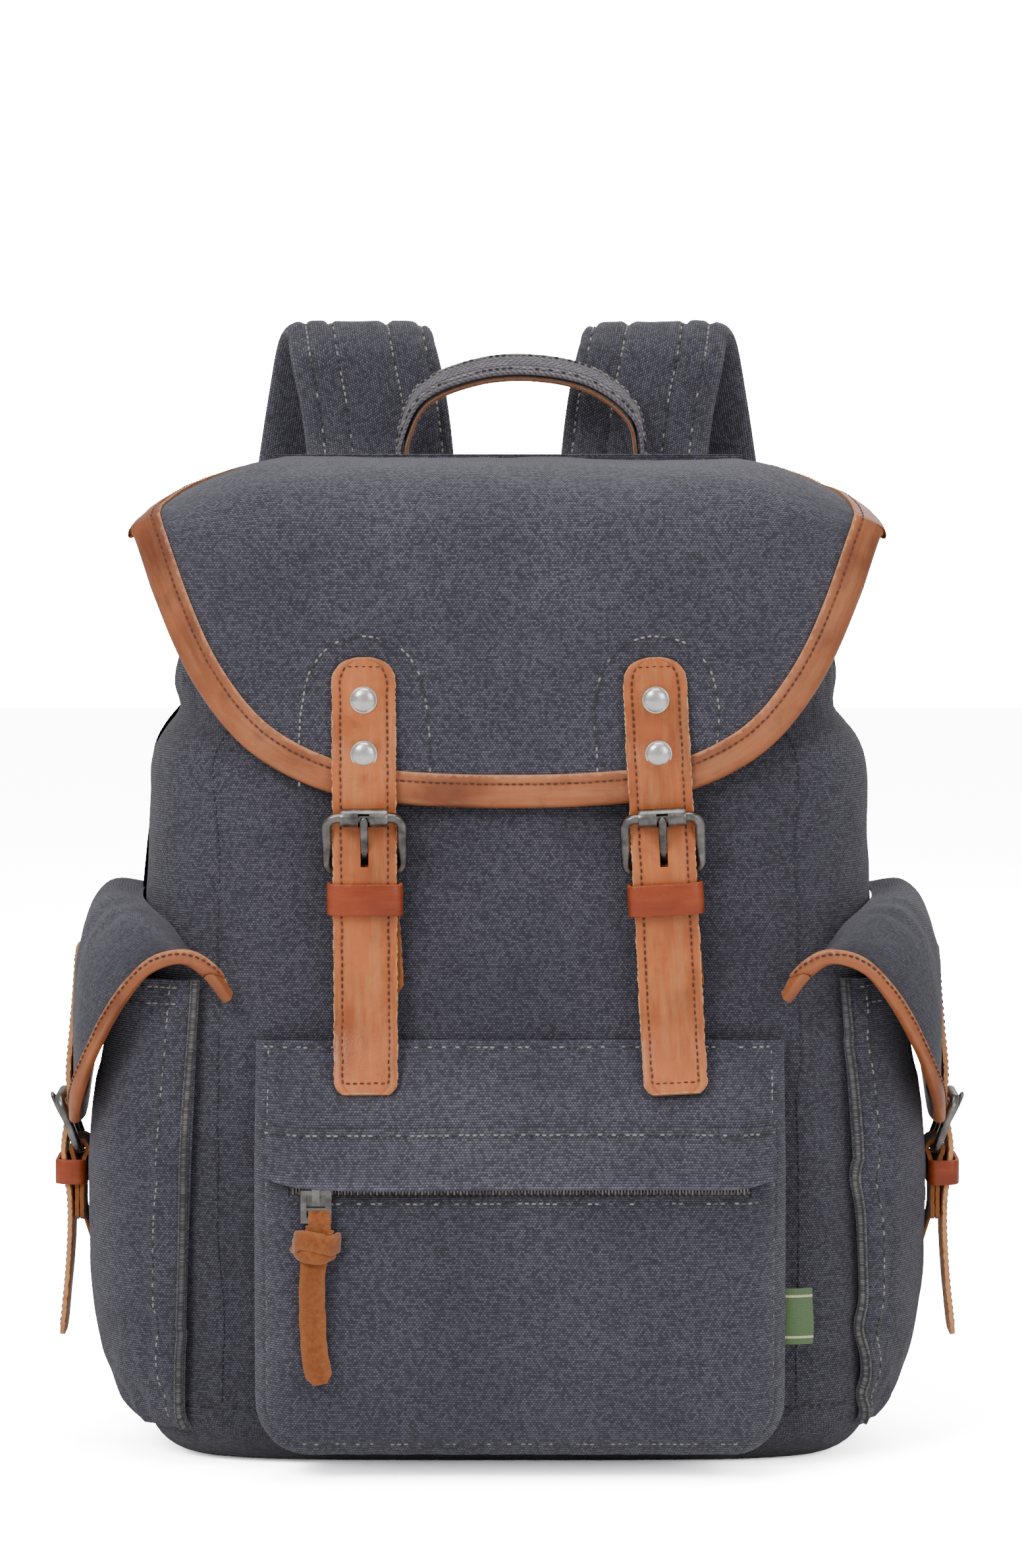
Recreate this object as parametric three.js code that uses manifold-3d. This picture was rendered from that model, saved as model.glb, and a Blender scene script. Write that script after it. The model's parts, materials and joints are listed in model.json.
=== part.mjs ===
// Travel backpack: a canvas bag with a leather-bound flap, two front straps, a zipped front pocket,
// two side pockets, a top handle and two padded shoulder straps.
// Millimetres. +Z is up, the bag stands on its base at z = 0 and its front faces -Y.

import * as THREE from 'three';
import { mergeVertices } from 'three/addons/utils/BufferGeometryUtils.js';
import Module from 'manifold-3d';

const wasm = await Module();
wasm.setup();

// ---- driving dimensions ----
const GAP = 0.3; // between pieces that touch
const CANVAS = 2.4; // wall of the shell
const LINING = 1.2;
const BASE_FILLET = 24;
const SQUARENESS = 4; // exponent of the superellipse that the body's plan follows
const SEAM_ANGLE = 27; // degrees from the side's middle to each side panel's seams
const WALL_STEP = 9; // degrees between the wall's facets, which the seams fall on
const MOUTH_HEIGHT = 372;
const HEM_HEIGHT = 24;
const YOKE_RISE = 19; // how far the back panel's middle stands above the mouth

const FLAP_THICK = 2.4;
const WING_START = 88; // half width of the flap's flat middle
const WING_TIP = 147;
const WING_DROP = 24;
const BINDING_WIDTH = 11;
const BINDING_THICK = 1.4;
const BINDING_GAP = 1.3; // between a sheet and the strip folded over its edge

const STRAP_WIDTH = 25;
const STRAP_THICK = 2.6;
const TAB_THICK = 3.6;
const TAB_WIDTH = 24;
const KEEPER_THICK = 1.8;
const WIRE = 1.95; // radius of a buckle's wire
const SLEEVE_RADIUS = 3.7;
const RIVET_RADIUS = 5.25;
const RIVET_HOLE = 2.4; // radius
const PRONG_WIDTH = 3.4;
const PRONG_SLOT = 4.4; // width of the slots that the prong passes

const POCKET = { left: -98, right: 108, bottom: 12, top: 172, corner: 20 };
const ZIP_HEIGHT = 117;
const STORM_TOP = 138.5;
const SEAM_STANDOFF = 1.2; // between the body's wall and a pocket sheet sewn to it
const SIDE_POCKET = { bottom: 15, top: 197, bulge: 14, rear: 150 };
const STORM_GAP = 1.9; // between the storm flap and the pocket's face

const WEBBING_THICK = 1.8;
const PAD_WIDTH = 61;
const PAD_THICK = 13;

// ---- materials ----
const look = (color, roughness, metalness = 0) =>
  new THREE.MeshStandardMaterial({ color, roughness, metalness });
const canvasLook = () => look(0x53525d, 0.9);
const liningLook = () => look(0x6d6a62, 0.9);
const leatherLook = () => look(0xa8602f, 0.6);
const suedeLook = () => look(0x5d3a24, 0.95);
const webbingLook = () => look(0x5c565b, 0.85);
const gunmetalLook = () => look(0x5a5652, 0.4, 1);
const nickelLook = () => look(0xb4b2ad, 0.3, 1);

const model = new THREE.Group();

function addMesh(parent, name, geometry, material) {
  const mesh = new THREE.Mesh(geometry, material);
  mesh.name = name;
  parent.add(mesh);
  return mesh;
}

// ---- shape helpers ----

/** A smooth function through [input, output] pairs, held level beyond both ends. */
function curveThrough(pairs) {
  const last = pairs.length - 1;
  const slopes = pairs.map((_, i) => {
    const before = pairs[Math.max(i - 1, 0)];
    const after = pairs[Math.min(i + 1, last)];
    return (after[1] - before[1]) / (after[0] - before[0]);
  });
  return (x) => {
    if (x <= pairs[0][0]) return pairs[0][1];
    if (x >= pairs[last][0]) return pairs[last][1];
    const i = pairs.findIndex(([at]) => at > x) - 1;
    const span = pairs[i + 1][0] - pairs[i][0];
    const t = (x - pairs[i][0]) / span;
    const blend = t * t * (3 - 2 * t);
    const bow = t * (1 - t) * ((1 - t) * slopes[i] - t * slopes[i + 1]) * span;
    return pairs[i][1] * (1 - blend) + pairs[i + 1][1] * blend + bow;
  };
}

/** Merges a geometry's shared corners and turns its faces outwards. */
function closed(geometry) {
  geometry.deleteAttribute('normal');
  geometry.deleteAttribute('uv');
  const merged = mergeVertices(geometry, 1e-4);
  const at = (i) => new THREE.Vector3().fromBufferAttribute(merged.attributes.position, i);
  const index = merged.index.array;
  let volume = 0;
  for (let i = 0; i < index.length; i += 3) {
    volume += at(index[i]).dot(at(index[i + 1]).cross(at(index[i + 2])));
  }
  if (volume < 0) index.reverse();
  return merged;
}

/** A block whose unit coordinates (u, v, t), each 0 to 1, are placed by a function. */
function block(place, along, across, through = 1) {
  const geometry = new THREE.BoxGeometry(1, 1, 1, along, across, through);
  const position = geometry.attributes.position;
  for (let i = 0; i < position.count; i += 1) {
    const [u, v, t] = [position.getX(i) + 0.5, position.getY(i) + 0.5, position.getZ(i) + 0.5];
    const p = place(u, v, t);
    position.setXYZ(i, p.x, p.y, p.z);
  }
  return closed(geometry);
}

function solid(geometry) {
  const merged = geometry.index && !geometry.attributes.normal ? geometry : closed(geometry);
  return new wasm.Manifold(
    new wasm.Mesh({
      numProp: 3,
      vertProperties: new Float32Array(merged.attributes.position.array),
      triVerts: new Uint32Array(merged.index.array),
    }),
  );
}

function geometryOf(manifold) {
  const mesh = manifold.getMesh();
  const geometry = new THREE.BufferGeometry();
  geometry.setAttribute('position', new THREE.BufferAttribute(mesh.vertProperties, 3));
  geometry.setIndex(new THREE.BufferAttribute(mesh.triVerts, 1));
  return geometry;
}

function cut(geometry, ...tools) {
  return geometryOf(tools.reduce((whole, tool) => whole.subtract(solid(tool)), solid(geometry)));
}

function join(...pieces) {
  return geometryOf(pieces.map(solid).reduce((whole, piece) => whole.add(piece)));
}

const box = (x, y, z, at) => new THREE.BoxGeometry(x, y, z).translate(...at);

/** A cylinder along Y. */
const rodY = (radius, length, at, sides = 24) =>
  new THREE.CylinderGeometry(radius, radius, length, sides).translate(...at);

/** A cylinder along X. */
const rodX = (radius, length, at, sides = 20) =>
  new THREE.CylinderGeometry(radius, radius, length, sides)
    .rotateZ(Math.PI / 2)
    .translate(...at);

/** A ribbon along a curve: across(s) is its width direction, and centre, width and thickness may vary. */
function ribbon(points, { width, thick, across, steps = 40, tips = () => 1, lift = 0 }) {
  const path = new THREE.CatmullRomCurve3(points, false, 'centripetal');
  return block((u, v, t) => {
    const tangent = path.getTangentAt(u);
    const side = across(u).clone();
    const out = new THREE.Vector3().crossVectors(side, tangent).normalize();
    side.crossVectors(tangent, out).normalize();
    const high = typeof thick === 'function' ? thick(u) : thick;
    return path
      .getPointAt(u)
      .addScaledVector(side, (v - 0.5) * width * tips(u))
      .addScaledVector(out, (t - 0.5) * high + lift);
  }, steps, 2);
}

// ---- the body's outer surface ----

const halfWidthAt = curveThrough([
  [0, 147], [120, 148], [250, 145], [295, 139], [330, 130], [MOUTH_HEIGHT, 121], [400, 121],
]);
const frontAt = curveThrough([[0, -61], [140, -63], [260, -62], [320, -57], [MOUTH_HEIGHT, -50]]);
const backAt = curveThrough([[0, 60], [200, 62], [392, 60]]);

/** How far the rounded bottom edge draws the wall in at a height. */
function filletInset(z) {
  if (z >= BASE_FILLET) return 0;
  return BASE_FILLET - Math.sqrt(BASE_FILLET ** 2 - (BASE_FILLET - z) ** 2);
}

/** A point of the body's wall in the direction of an angle, depth mm inside its outer surface. */
function wallPoint(angle, z, depth = 0, reach = 1) {
  const inward = filletInset(z) + depth;
  const a = halfWidthAt(z) - inward;
  const b = (backAt(z) - frontAt(z)) / 2 - inward;
  const [c, s] = [Math.cos(angle), Math.sin(angle)];
  const sum = Math.abs(c / a) ** SQUARENESS + Math.abs(s / b) ** SQUARENESS;
  const radius = reach * sum ** (-1 / SQUARENESS);
  return new THREE.Vector3(radius * c, (backAt(z) + frontAt(z)) / 2 + radius * s, z);
}

/** Everything inside the body's wall, depth mm in, between two heights. */
function bodyFill(depth, low, high, rows) {
  const geometry = new THREE.CylinderGeometry(1, 1, 1, 360 / WALL_STEP, rows);
  const position = geometry.attributes.position;
  for (let i = 0; i < position.count; i += 1) {
    const rise = (position.getY(i) + 0.5) ** 1.6;
    const angle = Math.atan2(position.getZ(i), position.getX(i));
    const reach = Math.hypot(position.getX(i), position.getZ(i));
    const p = wallPoint(angle, low + rise * (high - low), depth, reach);
    position.setXYZ(i, p.x, p.y, p.z);
  }
  return closed(geometry);
}

/** A panel of the wall between two angles in degrees. */
function wallPanel(from, to, low, top, thick, depth = 0, rows = 10) {
  const edge = THREE.MathUtils.radToDeg(0.4 / 130);
  return block((u, v, t) => {
    const angle = THREE.MathUtils.degToRad(from + edge + u * (to - from - 2 * edge));
    const high = top(wallPoint(angle, MOUTH_HEIGHT).x);
    return wallPoint(angle, low + v * (high - low), depth + t * thick);
  }, Math.round((to - from) / WALL_STEP), rows);
}

// ---- the body ----

const mouthTop = () => MOUTH_HEIGHT;
const yokeTop = (x) => MOUTH_HEIGHT + YOKE_RISE * Math.max(0, 1 - (x / 112) ** 2);
const EYELET_HEIGHT = MOUTH_HEIGHT - HEM_HEIGHT / 2;
const EYELET_BARREL = 4;

const eyeletHole = () => rodY(EYELET_BARREL + GAP, 30, [0, frontAt(EYELET_HEIGHT), EYELET_HEIGHT]);

addMesh(
  model, 'front_panel',
  cut(wallPanel(-180 + SEAM_ANGLE, -SEAM_ANGLE, BASE_FILLET, mouthTop, CANVAS), eyeletHole()),
  canvasLook(),
);
addMesh(
  model, 'back_panel',
  wallPanel(SEAM_ANGLE, 180 - SEAM_ANGLE, BASE_FILLET, yokeTop, CANVAS),
  canvasLook(),
);
addMesh(
  model, 'side_panel_right',
  wallPanel(-SEAM_ANGLE, SEAM_ANGLE, BASE_FILLET, mouthTop, CANVAS),
  canvasLook(),
);
addMesh(
  model, 'side_panel_left',
  wallPanel(180 - SEAM_ANGLE, 180 + SEAM_ANGLE, BASE_FILLET, mouthTop, CANVAS),
  canvasLook(),
);
addMesh(
  model, 'base_panel',
  cut(bodyFill(0, 0, BASE_FILLET - GAP, 6), bodyFill(CANVAS, CANVAS, BASE_FILLET + 4, 6)),
  canvasLook(),
);

const LINING_DEPTH = CANVAS + 1.5;
const LINING_TOP = MOUTH_HEIGHT - HEM_HEIGHT - GAP;
addMesh(
  model, 'lining',
  cut(
    bodyFill(LINING_DEPTH, LINING_DEPTH, LINING_TOP, 6),
    bodyFill(LINING_DEPTH + LINING, LINING_DEPTH + LINING, LINING_TOP + 5, 6),
  ),
  liningLook(),
);

function buildMouthHem() {
  const low = MOUTH_HEIGHT - HEM_HEIGHT;
  const outer = bodyFill(LINING_DEPTH, low, MOUTH_HEIGHT, 3);
  const inner = bodyFill(LINING_DEPTH + CANVAS, low - 5, MOUTH_HEIGHT + 5, 3);
  return cut(outer, inner, eyeletHole());
}
addMesh(model, 'mouth_hem', buildMouthHem(), canvasLook());

function buildEyelet() {
  const wall = LINING_DEPTH + CANVAS + 1.2;
  const outline = [
    [2.6, -2.4], [6.5, -2.4], [6.5, -1.3], [EYELET_BARREL, -1.3],
    [EYELET_BARREL, wall], [6.5, wall], [6.5, wall + 1], [2.6, wall + 1], [2.6, -2.4],
  ];
  const profile = outline.map(([r, y]) => new THREE.Vector2(r, y));
  const geometry = new THREE.LatheGeometry(profile, 24);
  return geometry.translate(0, frontAt(EYELET_HEIGHT) - GAP / 2, EYELET_HEIGHT);
}
addMesh(model, 'drawcord_eyelet', closed(buildEyelet()), gunmetalLook());

// ---- sheets with a bound edge ----

/** Follows a sheet's flat outline from its hinge, round its free edge, back to its hinge. */
function outlineOf(flatPoints) {
  const points = flatPoints.map(([a, s]) => new THREE.Vector3(a, s, 0));
  const curve = new THREE.CatmullRomCurve3(points, false, 'centripetal');
  return (e) => curve.getPointAt(THREE.MathUtils.clamp(e, 0, 1));
}

/** Fills an outline with a solid sheet, bent by place(a, s, lift). */
function sheetPanel(edge, corner, place, thick, along, down) {
  const mix = (p, q, t) => p.clone().lerp(q, t);
  return block((u, v, t) => {
    const top = mix(edge(0), edge(1), u);
    const bottom = edge(corner + (1 - 2 * corner) * u);
    const left = edge(corner * v);
    const right = edge(1 - corner * v);
    const corners = mix(mix(edge(0), edge(1), u), mix(edge(corner), edge(1 - corner), u), v);
    const flat = mix(top, bottom, v).add(mix(left, right, u)).sub(corners);
    return place(flat.x, flat.y, (t - 0.5) * thick);
  }, along, down);
}

/** A strip folded over the sheet's free edge. */
function edgeBinding(edge, place, thick, width, steps) {
  const face = thick / 2 + BINDING_GAP;
  const skin = face + BINDING_THICK;
  const rim = -BINDING_GAP - BINDING_THICK;
  const outer = [[width, skin], [rim, skin], [rim, -skin], [width, -skin]];
  const inner = [[width, face], [-BINDING_GAP, face], [-BINDING_GAP, -face], [width, -face]];
  return block((u, v, t) => {
    const e = 0.004 + u * 0.992;
    const ahead = edge(Math.min(e + 0.004, 1)).sub(edge(Math.max(e - 0.004, 0))).normalize();
    const inward = new THREE.Vector3(ahead.y, -ahead.x, 0);
    const row = Math.round(v * 3);
    const [inset, lift] = [0, 1].map((k) => THREE.MathUtils.lerp(outer[row][k], inner[row][k], t));
    const flat = edge(e).addScaledVector(inward, inset);
    return place(flat.x, flat.y, lift);
  }, steps, 3);
}

// ---- the main flap ----

const flapPath = new THREE.CatmullRomCurve3(
  [
    [58.6, 394.8], [20, 396.6], [-20, 397], [-42, 395], [-55, 389], [-62.5, 377],
    [-65.2, 350], [-66.6, 310], [-68, 262], [-68.5, 250],
  ].map(([y, z]) => new THREE.Vector3(0, y, z)),
  false,
  'centripetal',
);
flapPath.arcLengthDivisions = 800;
const FLAP_PATH_LENGTH = flapPath.getLength();

/** A point of the flap: x across, s down from the hinge, lift outwards from its middle layer. */
function flapPoint(x, s, lift) {
  const u = THREE.MathUtils.clamp(s / FLAP_PATH_LENGTH, 0, 1);
  const tangent = flapPath.getTangentAt(u);
  const out = new THREE.Vector3(0, tangent.z, -tangent.y);
  const wing = Math.max(0, Math.abs(x) - WING_START) / (WING_TIP - WING_START);
  const p = flapPath.getPointAt(u).addScaledVector(out, lift - WING_DROP * wing ** 1.6);
  p.x = x;
  return p;
}

/** How far down from the hinge the flap's front reaches a height. */
function flapDistanceAt(z) {
  let [low, high] = [0.35, 1];
  for (let i = 0; i < 30; i += 1) {
    const middle = (low + high) / 2;
    if (flapPath.getPointAt(middle).z > z) low = middle;
    else high = middle;
  }
  return low * FLAP_PATH_LENGTH;
}

const flap = new THREE.Group();
model.add(flap);

const flapSide = [
  [-116, 2], [-134, 42], [-146.5, 96], [-146, flapDistanceAt(378)], [-136, flapDistanceAt(345)],
  [-121, flapDistanceAt(313)], [-100, flapDistanceAt(288)], [-69, flapDistanceAt(272)],
  [-35, flapDistanceAt(267)],
];
const flapEdge = outlineOf([...flapSide, ...flapSide.map(([x, s]) => [-x, s]).reverse()]);

// ---- straps, buckles and what is on them ----

/** A ring round an X axis with a finger along +Z: a prong, seen from its side. */
function buildProng(from, to) {
  const reach = Math.hypot(to.out - from.out, to.z - from.z);
  const eye = new THREE.Shape();
  eye.absarc(0, 0, WIRE + GAP + 1.6, 0, Math.PI * 2);
  const hole = new THREE.Path();
  hole.absarc(0, 0, WIRE + GAP, 0, Math.PI * 2);
  eye.holes.push(hole);
  const flat = { depth: PRONG_WIDTH, bevelEnabled: false };
  const ring = new THREE.ExtrudeGeometry(eye, { ...flat, curveSegments: 10 });
  const finger = new THREE.Shape();
  finger.moveTo(-1.1, WIRE + GAP + 0.5);
  finger.lineTo(1.1, WIRE + GAP + 0.5);
  finger.lineTo(1.1, reach);
  finger.absarc(0, reach, 1.1, 0, Math.PI);
  const bar = new THREE.ExtrudeGeometry(finger, { ...flat, curveSegments: 6 });
  const tilt = Math.atan2(to.out - from.out, to.z - from.z);
  // shape x is outwards (-Y), shape y is up, and the extrusion runs along X
  const turn = new THREE.Matrix4().makeBasis(
    new THREE.Vector3(0, -Math.cos(tilt), -Math.sin(tilt)),
    new THREE.Vector3(0, -Math.sin(tilt), Math.cos(tilt)),
    new THREE.Vector3(-1, 0, 0),
  );
  return join(ring, bar)
    .translate(0, 0, -PRONG_WIDTH / 2)
    .applyMatrix4(turn)
    .translate(0, -from.out, from.z);
}

/** A wire rectangle between its upper bar and its lower bar. */
function buildFrame(upper, lower) {
  const half = STRAP_WIDTH / 2 + GAP + WIRE;
  const tall = Math.hypot(upper.out - lower.out, upper.z - lower.z);
  const tilt = Math.atan2(upper.out - lower.out, upper.z - lower.z);
  const arm = (x) => rodY(WIRE, tall, [x, tall / 2, 0], 10);
  const corner = (x, y) => new THREE.SphereGeometry(WIRE, 10, 6).translate(x, y, 0);
  const frame = join(
    rodX(WIRE, half * 2, [0, 0, 0], 10), rodX(WIRE, half * 2, [0, tall, 0], 10), arm(-half), arm(half),
    corner(-half, 0), corner(half, 0), corner(-half, tall), corner(half, tall),
  );
  const turn = new THREE.Matrix4().makeBasis(
    new THREE.Vector3(1, 0, 0),
    new THREE.Vector3(0, -Math.sin(tilt), Math.cos(tilt)),
    new THREE.Vector3(0, -Math.cos(tilt), -Math.sin(tilt)),
  );
  return frame.applyMatrix4(turn).translate(0, -lower.out, lower.z);
}

/** A sleeve on the upper bar, with a notch in front for the prong's tip. */
function buildSleeve(upper) {
  const [inner, outer, half] = [WIRE + GAP, SLEEVE_RADIUS, 9];
  const outline = [[inner, -half], [outer, -half], [outer, half], [inner, half], [inner, -half]];
  const ring = new THREE.LatheGeometry(outline.map(([r, y]) => new THREE.Vector2(r, y)), 20);
  ring.rotateZ(Math.PI / 2).translate(0, -upper.out, upper.z);
  const notch = box(4.2, 10, 13, [0, -upper.out - 5, upper.z - 4.7]);
  return cut(closed(ring), notch);
}

/** Two layers of leather folded round the lower bar and running down behind the strap. */
function buildTab(lower, tabEnd) {
  const outer = WIRE + GAP + TAB_THICK / 2;
  const side = new THREE.Shape();
  const meetingHeight = Math.sqrt(outer ** 2 - (TAB_THICK / 2) ** 2);
  const startAngle = Math.atan2(-meetingHeight, TAB_THICK / 2);
  side.moveTo(-TAB_THICK / 2, tabEnd - lower.z);
  side.lineTo(TAB_THICK / 2, tabEnd - lower.z);
  side.lineTo(TAB_THICK / 2, -meetingHeight);
  side.absarc(0, 0, outer, startAngle, Math.PI - startAngle);
  side.lineTo(-TAB_THICK / 2, tabEnd - lower.z);
  const hole = new THREE.Path();
  hole.absarc(0, 0, WIRE + GAP, 0, Math.PI * 2);
  side.holes.push(hole);
  const tab = new THREE.ExtrudeGeometry(side, {
    depth: TAB_WIDTH, bevelEnabled: false, curveSegments: 14,
  });
  const turn = new THREE.Matrix4().makeBasis(
    new THREE.Vector3(0, -1, 0),
    new THREE.Vector3(0, 0, 1),
    new THREE.Vector3(-1, 0, 0),
  );
  tab.applyMatrix4(turn).translate(TAB_WIDTH / 2, -lower.out, lower.z);
  return cut(closed(tab), box(4.4, 14, 10.5, [0, -lower.out, lower.z + 0.75]));
}

/** A leather loop round the strap and the tab. */
function buildKeeper({ inside, outside, low, high }) {
  const half = STRAP_WIDTH / 2 + GAP + KEEPER_THICK;
  const middle = [0, -(outside + inside) / 2, (low + high) / 2];
  const outer = box(half * 2, outside - inside + 2 * KEEPER_THICK, high - low, middle);
  const inner = box(half * 2 - 2 * KEEPER_THICK, outside - inside, high - low + 10, middle);
  return cut(closed(outer), inner);
}

/** A round fastener standing out of the bag behind a tab. */
function buildSnap(out, z, radius, high) {
  const outline = [[0, 0], [radius, 0], [radius, high * 0.45], [radius * 0.6, high], [0, high]];
  const geometry = new THREE.LatheGeometry(outline.map(([r, y]) => new THREE.Vector2(r, y)), 24);
  return closed(geometry.rotateX(Math.PI).translate(0, -out, z));
}

/** Points of a strap's middle layer, from [out, z] pairs. */
const strapPoints = (line) => line.map(([out, z]) => new THREE.Vector3(0, -out, z));

/** One strap with its frame, prong, keeper and tab, in a group whose -Y is outwards. */
function addStrapSet(group, side, kind, plan) {
  const first = plan.line[0][1];
  const end = plan.line[plan.line.length - 1][1];
  const tips = (u) => {
    const distance = u * (first - end);
    const top = Math.min(1, 0.55 + (0.45 * distance) / 9);
    const tail = Math.min(1, 0.72 + (0.28 * (1 - u) * (first - end)) / 12);
    return Math.min(plan.roundTop ? Math.sqrt(top) : 1, tail);
  };
  const strap = ribbon(strapPoints(plan.line), {
    width: STRAP_WIDTH, thick: STRAP_THICK, across: () => new THREE.Vector3(1, 0, 0), steps: 22, tips,
  });
  const [slotLow, slotTop] = plan.slot;
  const slotMiddle = [0, -plan.upper.out + 4, (slotLow + slotTop) / 2];
  const slot = box(PRONG_SLOT, 14, slotTop - slotLow, slotMiddle);
  const rivetHoles = plan.rivets.map((z) => rodY(RIVET_HOLE, 16, [0, -plan.rivetFace, z]));
  addMesh(group, `${kind}_strap_${side}`, cut(strap, slot, ...rivetHoles), leatherLook());
  addMesh(group, `${kind}_buckle_${side}`, buildFrame(plan.upper, plan.lower), gunmetalLook());
  addMesh(group, `${kind}_buckle_prong_${side}`, buildProng(plan.lower, plan.tip), gunmetalLook());
  const tab = buildTab(plan.lower, plan.tabEnd);
  const sewnLoop = plan.keeper ? [buildKeeper(plan.keeper)] : [];
  addMesh(group, `${kind}_buckle_tab_${side}`, join(tab, ...sewnLoop), suedeLook());
}

/** A domed cap, its shank through strap and flap, and the washer behind. */
function buildRivet(face, back, z) {
  const deep = face - back;
  const outline = [
    [0, 2.6], [2.2, 2.4], [4.2, 1.5], [RIVET_RADIUS, 0.5], [RIVET_RADIUS, GAP], [2, GAP],
    [2, -deep], [4.4, -deep], [4.4, -deep - 1], [0, -deep - 1],
  ];
  const geometry = new THREE.LatheGeometry(outline.map(([r, y]) => new THREE.Vector2(r, y)), 20);
  return closed(geometry.rotateX(Math.PI).translate(0, -face, z));
}

const FRONT = {
  line: [
    [69.6, 323], [70, 306], [71, 292], [73, 281], [73.4, 268], [72.6, 258], [73.6, 248], [74.4, 239],
    [73.2, 229], [72, 218], [72, 196], [73.2, 178], [78, 164], [82, 153],
  ],
  upper: { out: 78.2, z: 261 },
  lower: { out: 68.3, z: 239.2 },
  tip: { out: 81.9, z: 260.6 },
  slot: [241.4, 253.5],
  tabEnd: 191,
  rivets: [306.5, 285.5],
  rivetFace: 70,
  roundTop: true,
};
const FRONT_KEEPER = { inside: 66.2, outside: 75.9, low: 222.4, high: 234.8 };
const FRONT_SNAP = { z: 203, radius: 7.5, high: 3.1 };
const FRONT_STRAPS = {
  left: { x: -56, lean: -0.3 },
  right: { x: 57, lean: -3 },
};

const strapLine = new THREE.CatmullRomCurve3(strapPoints(FRONT.line), false, 'centripetal');

/** How far out the strap's front face is at a height. */
function strapFaceAt(z) {
  let [low, high] = [0, 1];
  for (let i = 0; i < 30; i += 1) {
    const middle = (low + high) / 2;
    if (strapLine.getPointAt(middle).z > z) low = middle;
    else high = middle;
  }
  return -strapLine.getPointAt(low).y + STRAP_THICK / 2;
}

/** How far out the flap's inner face is at a height of its front. */
const flapBackAt = (z) => -flapPoint(0, flapDistanceAt(z), -FLAP_THICK / 2).y;

let flapPanel = sheetPanel(flapEdge, 0.34, flapPoint, FLAP_THICK, 16, 19);
for (const [side, { x, lean }] of Object.entries(FRONT_STRAPS)) {
  const angle = THREE.MathUtils.degToRad(lean);
  const top = FRONT.line[0][1];
  const across = (z) => x - Math.sin(angle) * (top - z);
  const height = (z) => top - Math.cos(angle) * (top - z);
  // the set leans about the strap's top end
  const group = new THREE.Group();
  group.rotation.y = angle;
  group.position.set(across(0), 0, height(0));
  flap.add(group);
  addStrapSet(group, side, 'front', FRONT);
  addMesh(group, `front_buckle_sleeve_${side}`, buildSleeve(FRONT.upper), gunmetalLook());
  addMesh(group, `front_keeper_${side}`, buildKeeper(FRONT_KEEPER), leatherLook());
  FRONT.rivets.forEach((z, i) => {
    const rivet = buildRivet(strapFaceAt(z) + 0.5, flapBackAt(z) - 0.7, z);
    addMesh(group, `front_rivet_${i ? 'lower' : 'upper'}_${side}`, rivet, nickelLook());
    flapPanel = cut(flapPanel, rodY(RIVET_HOLE, 20, [across(z), -FRONT.rivetFace, height(z)]));
  });
  const snap = buildSnap(0, 0, FRONT_SNAP.radius, FRONT_SNAP.high);
  snap.translate(across(FRONT_SNAP.z), frontAt(FRONT_SNAP.z) - GAP, FRONT_SNAP.z);
  addMesh(model, `front_snap_${side}`, snap, nickelLook());
}
addMesh(flap, 'flap_panel', flapPanel, canvasLook());
addMesh(
  flap, 'flap_binding', edgeBinding(flapEdge, flapPoint, FLAP_THICK, BINDING_WIDTH, 56), leatherLook(),
);

// ---- front pocket ----

const POCKET_MIDDLE = (POCKET.left + POCKET.right) / 2;
const POCKET_HALF = (POCKET.right - POCKET.left) / 2;
const pocketDepthAt = curveThrough([
  [POCKET.bottom, 24], [30, 31], [60, 34.5], [105, 34], [128, 31], [142, 23], [158, 12], [POCKET.top, 3],
]);

/** The pocket's outer face. */
function pocketFaceY(x, z) {
  const side = Math.max(0, Math.abs(x - POCKET_MIDDLE) - 84) / (POCKET_HALF - 84);
  return -63.4 - pocketDepthAt(z) * (1 - 0.4 * side * side);
}

/** The pocket's lower outline at x, with round corners. */
function pocketBottomAt(x) {
  const past = Math.max(0, Math.abs(x - POCKET_MIDDLE) - (POCKET_HALF - POCKET.corner));
  return POCKET.bottom + POCKET.corner - Math.sqrt(Math.max(0, POCKET.corner ** 2 - past ** 2));
}

const ZIP = { left: -85, right: 95, high: 6, thick: 2.6 };
const ZIP_LENGTH = ZIP.right - ZIP.left;
const ZIP_MIDDLE = (ZIP.left + ZIP.right) / 2;
const ZIP_FACE = -pocketFaceY(0, ZIP_HEIGHT);

function buildPocketFace() {
  const plate = block((u, v, t) => {
    const spread = u - 0.5 + 0.11 * Math.sin(2 * Math.PI * (u - 0.5));
    const x = POCKET_MIDDLE + 2 * POCKET_HALF * spread;
    const low = pocketBottomAt(x);
    const z = low + v * (POCKET.top - low);
    return new THREE.Vector3(x, pocketFaceY(x, z) + t * 2.2, z);
  }, 20, 12);
  const middle = [ZIP_MIDDLE, -ZIP_FACE, ZIP_HEIGHT];
  const slit = box(ZIP_LENGTH + 2 * GAP, 14, ZIP.high + 2 * GAP, middle);
  return cut(plate, slit);
}
addMesh(model, 'front_pocket_face', buildPocketFace(), canvasLook());

/** The body's front surface at x and z. */
function bodyFrontY(x, z) {
  const inward = filletInset(Math.max(z, 0));
  const a = halfWidthAt(z) - inward;
  const b = (backAt(z) - frontAt(z)) / 2 - inward;
  const middle = (backAt(z) + frontAt(z)) / 2;
  return middle - b * Math.max(0, 1 - Math.abs(x / a) ** SQUARENESS) ** (1 / SQUARENESS);
}

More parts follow.
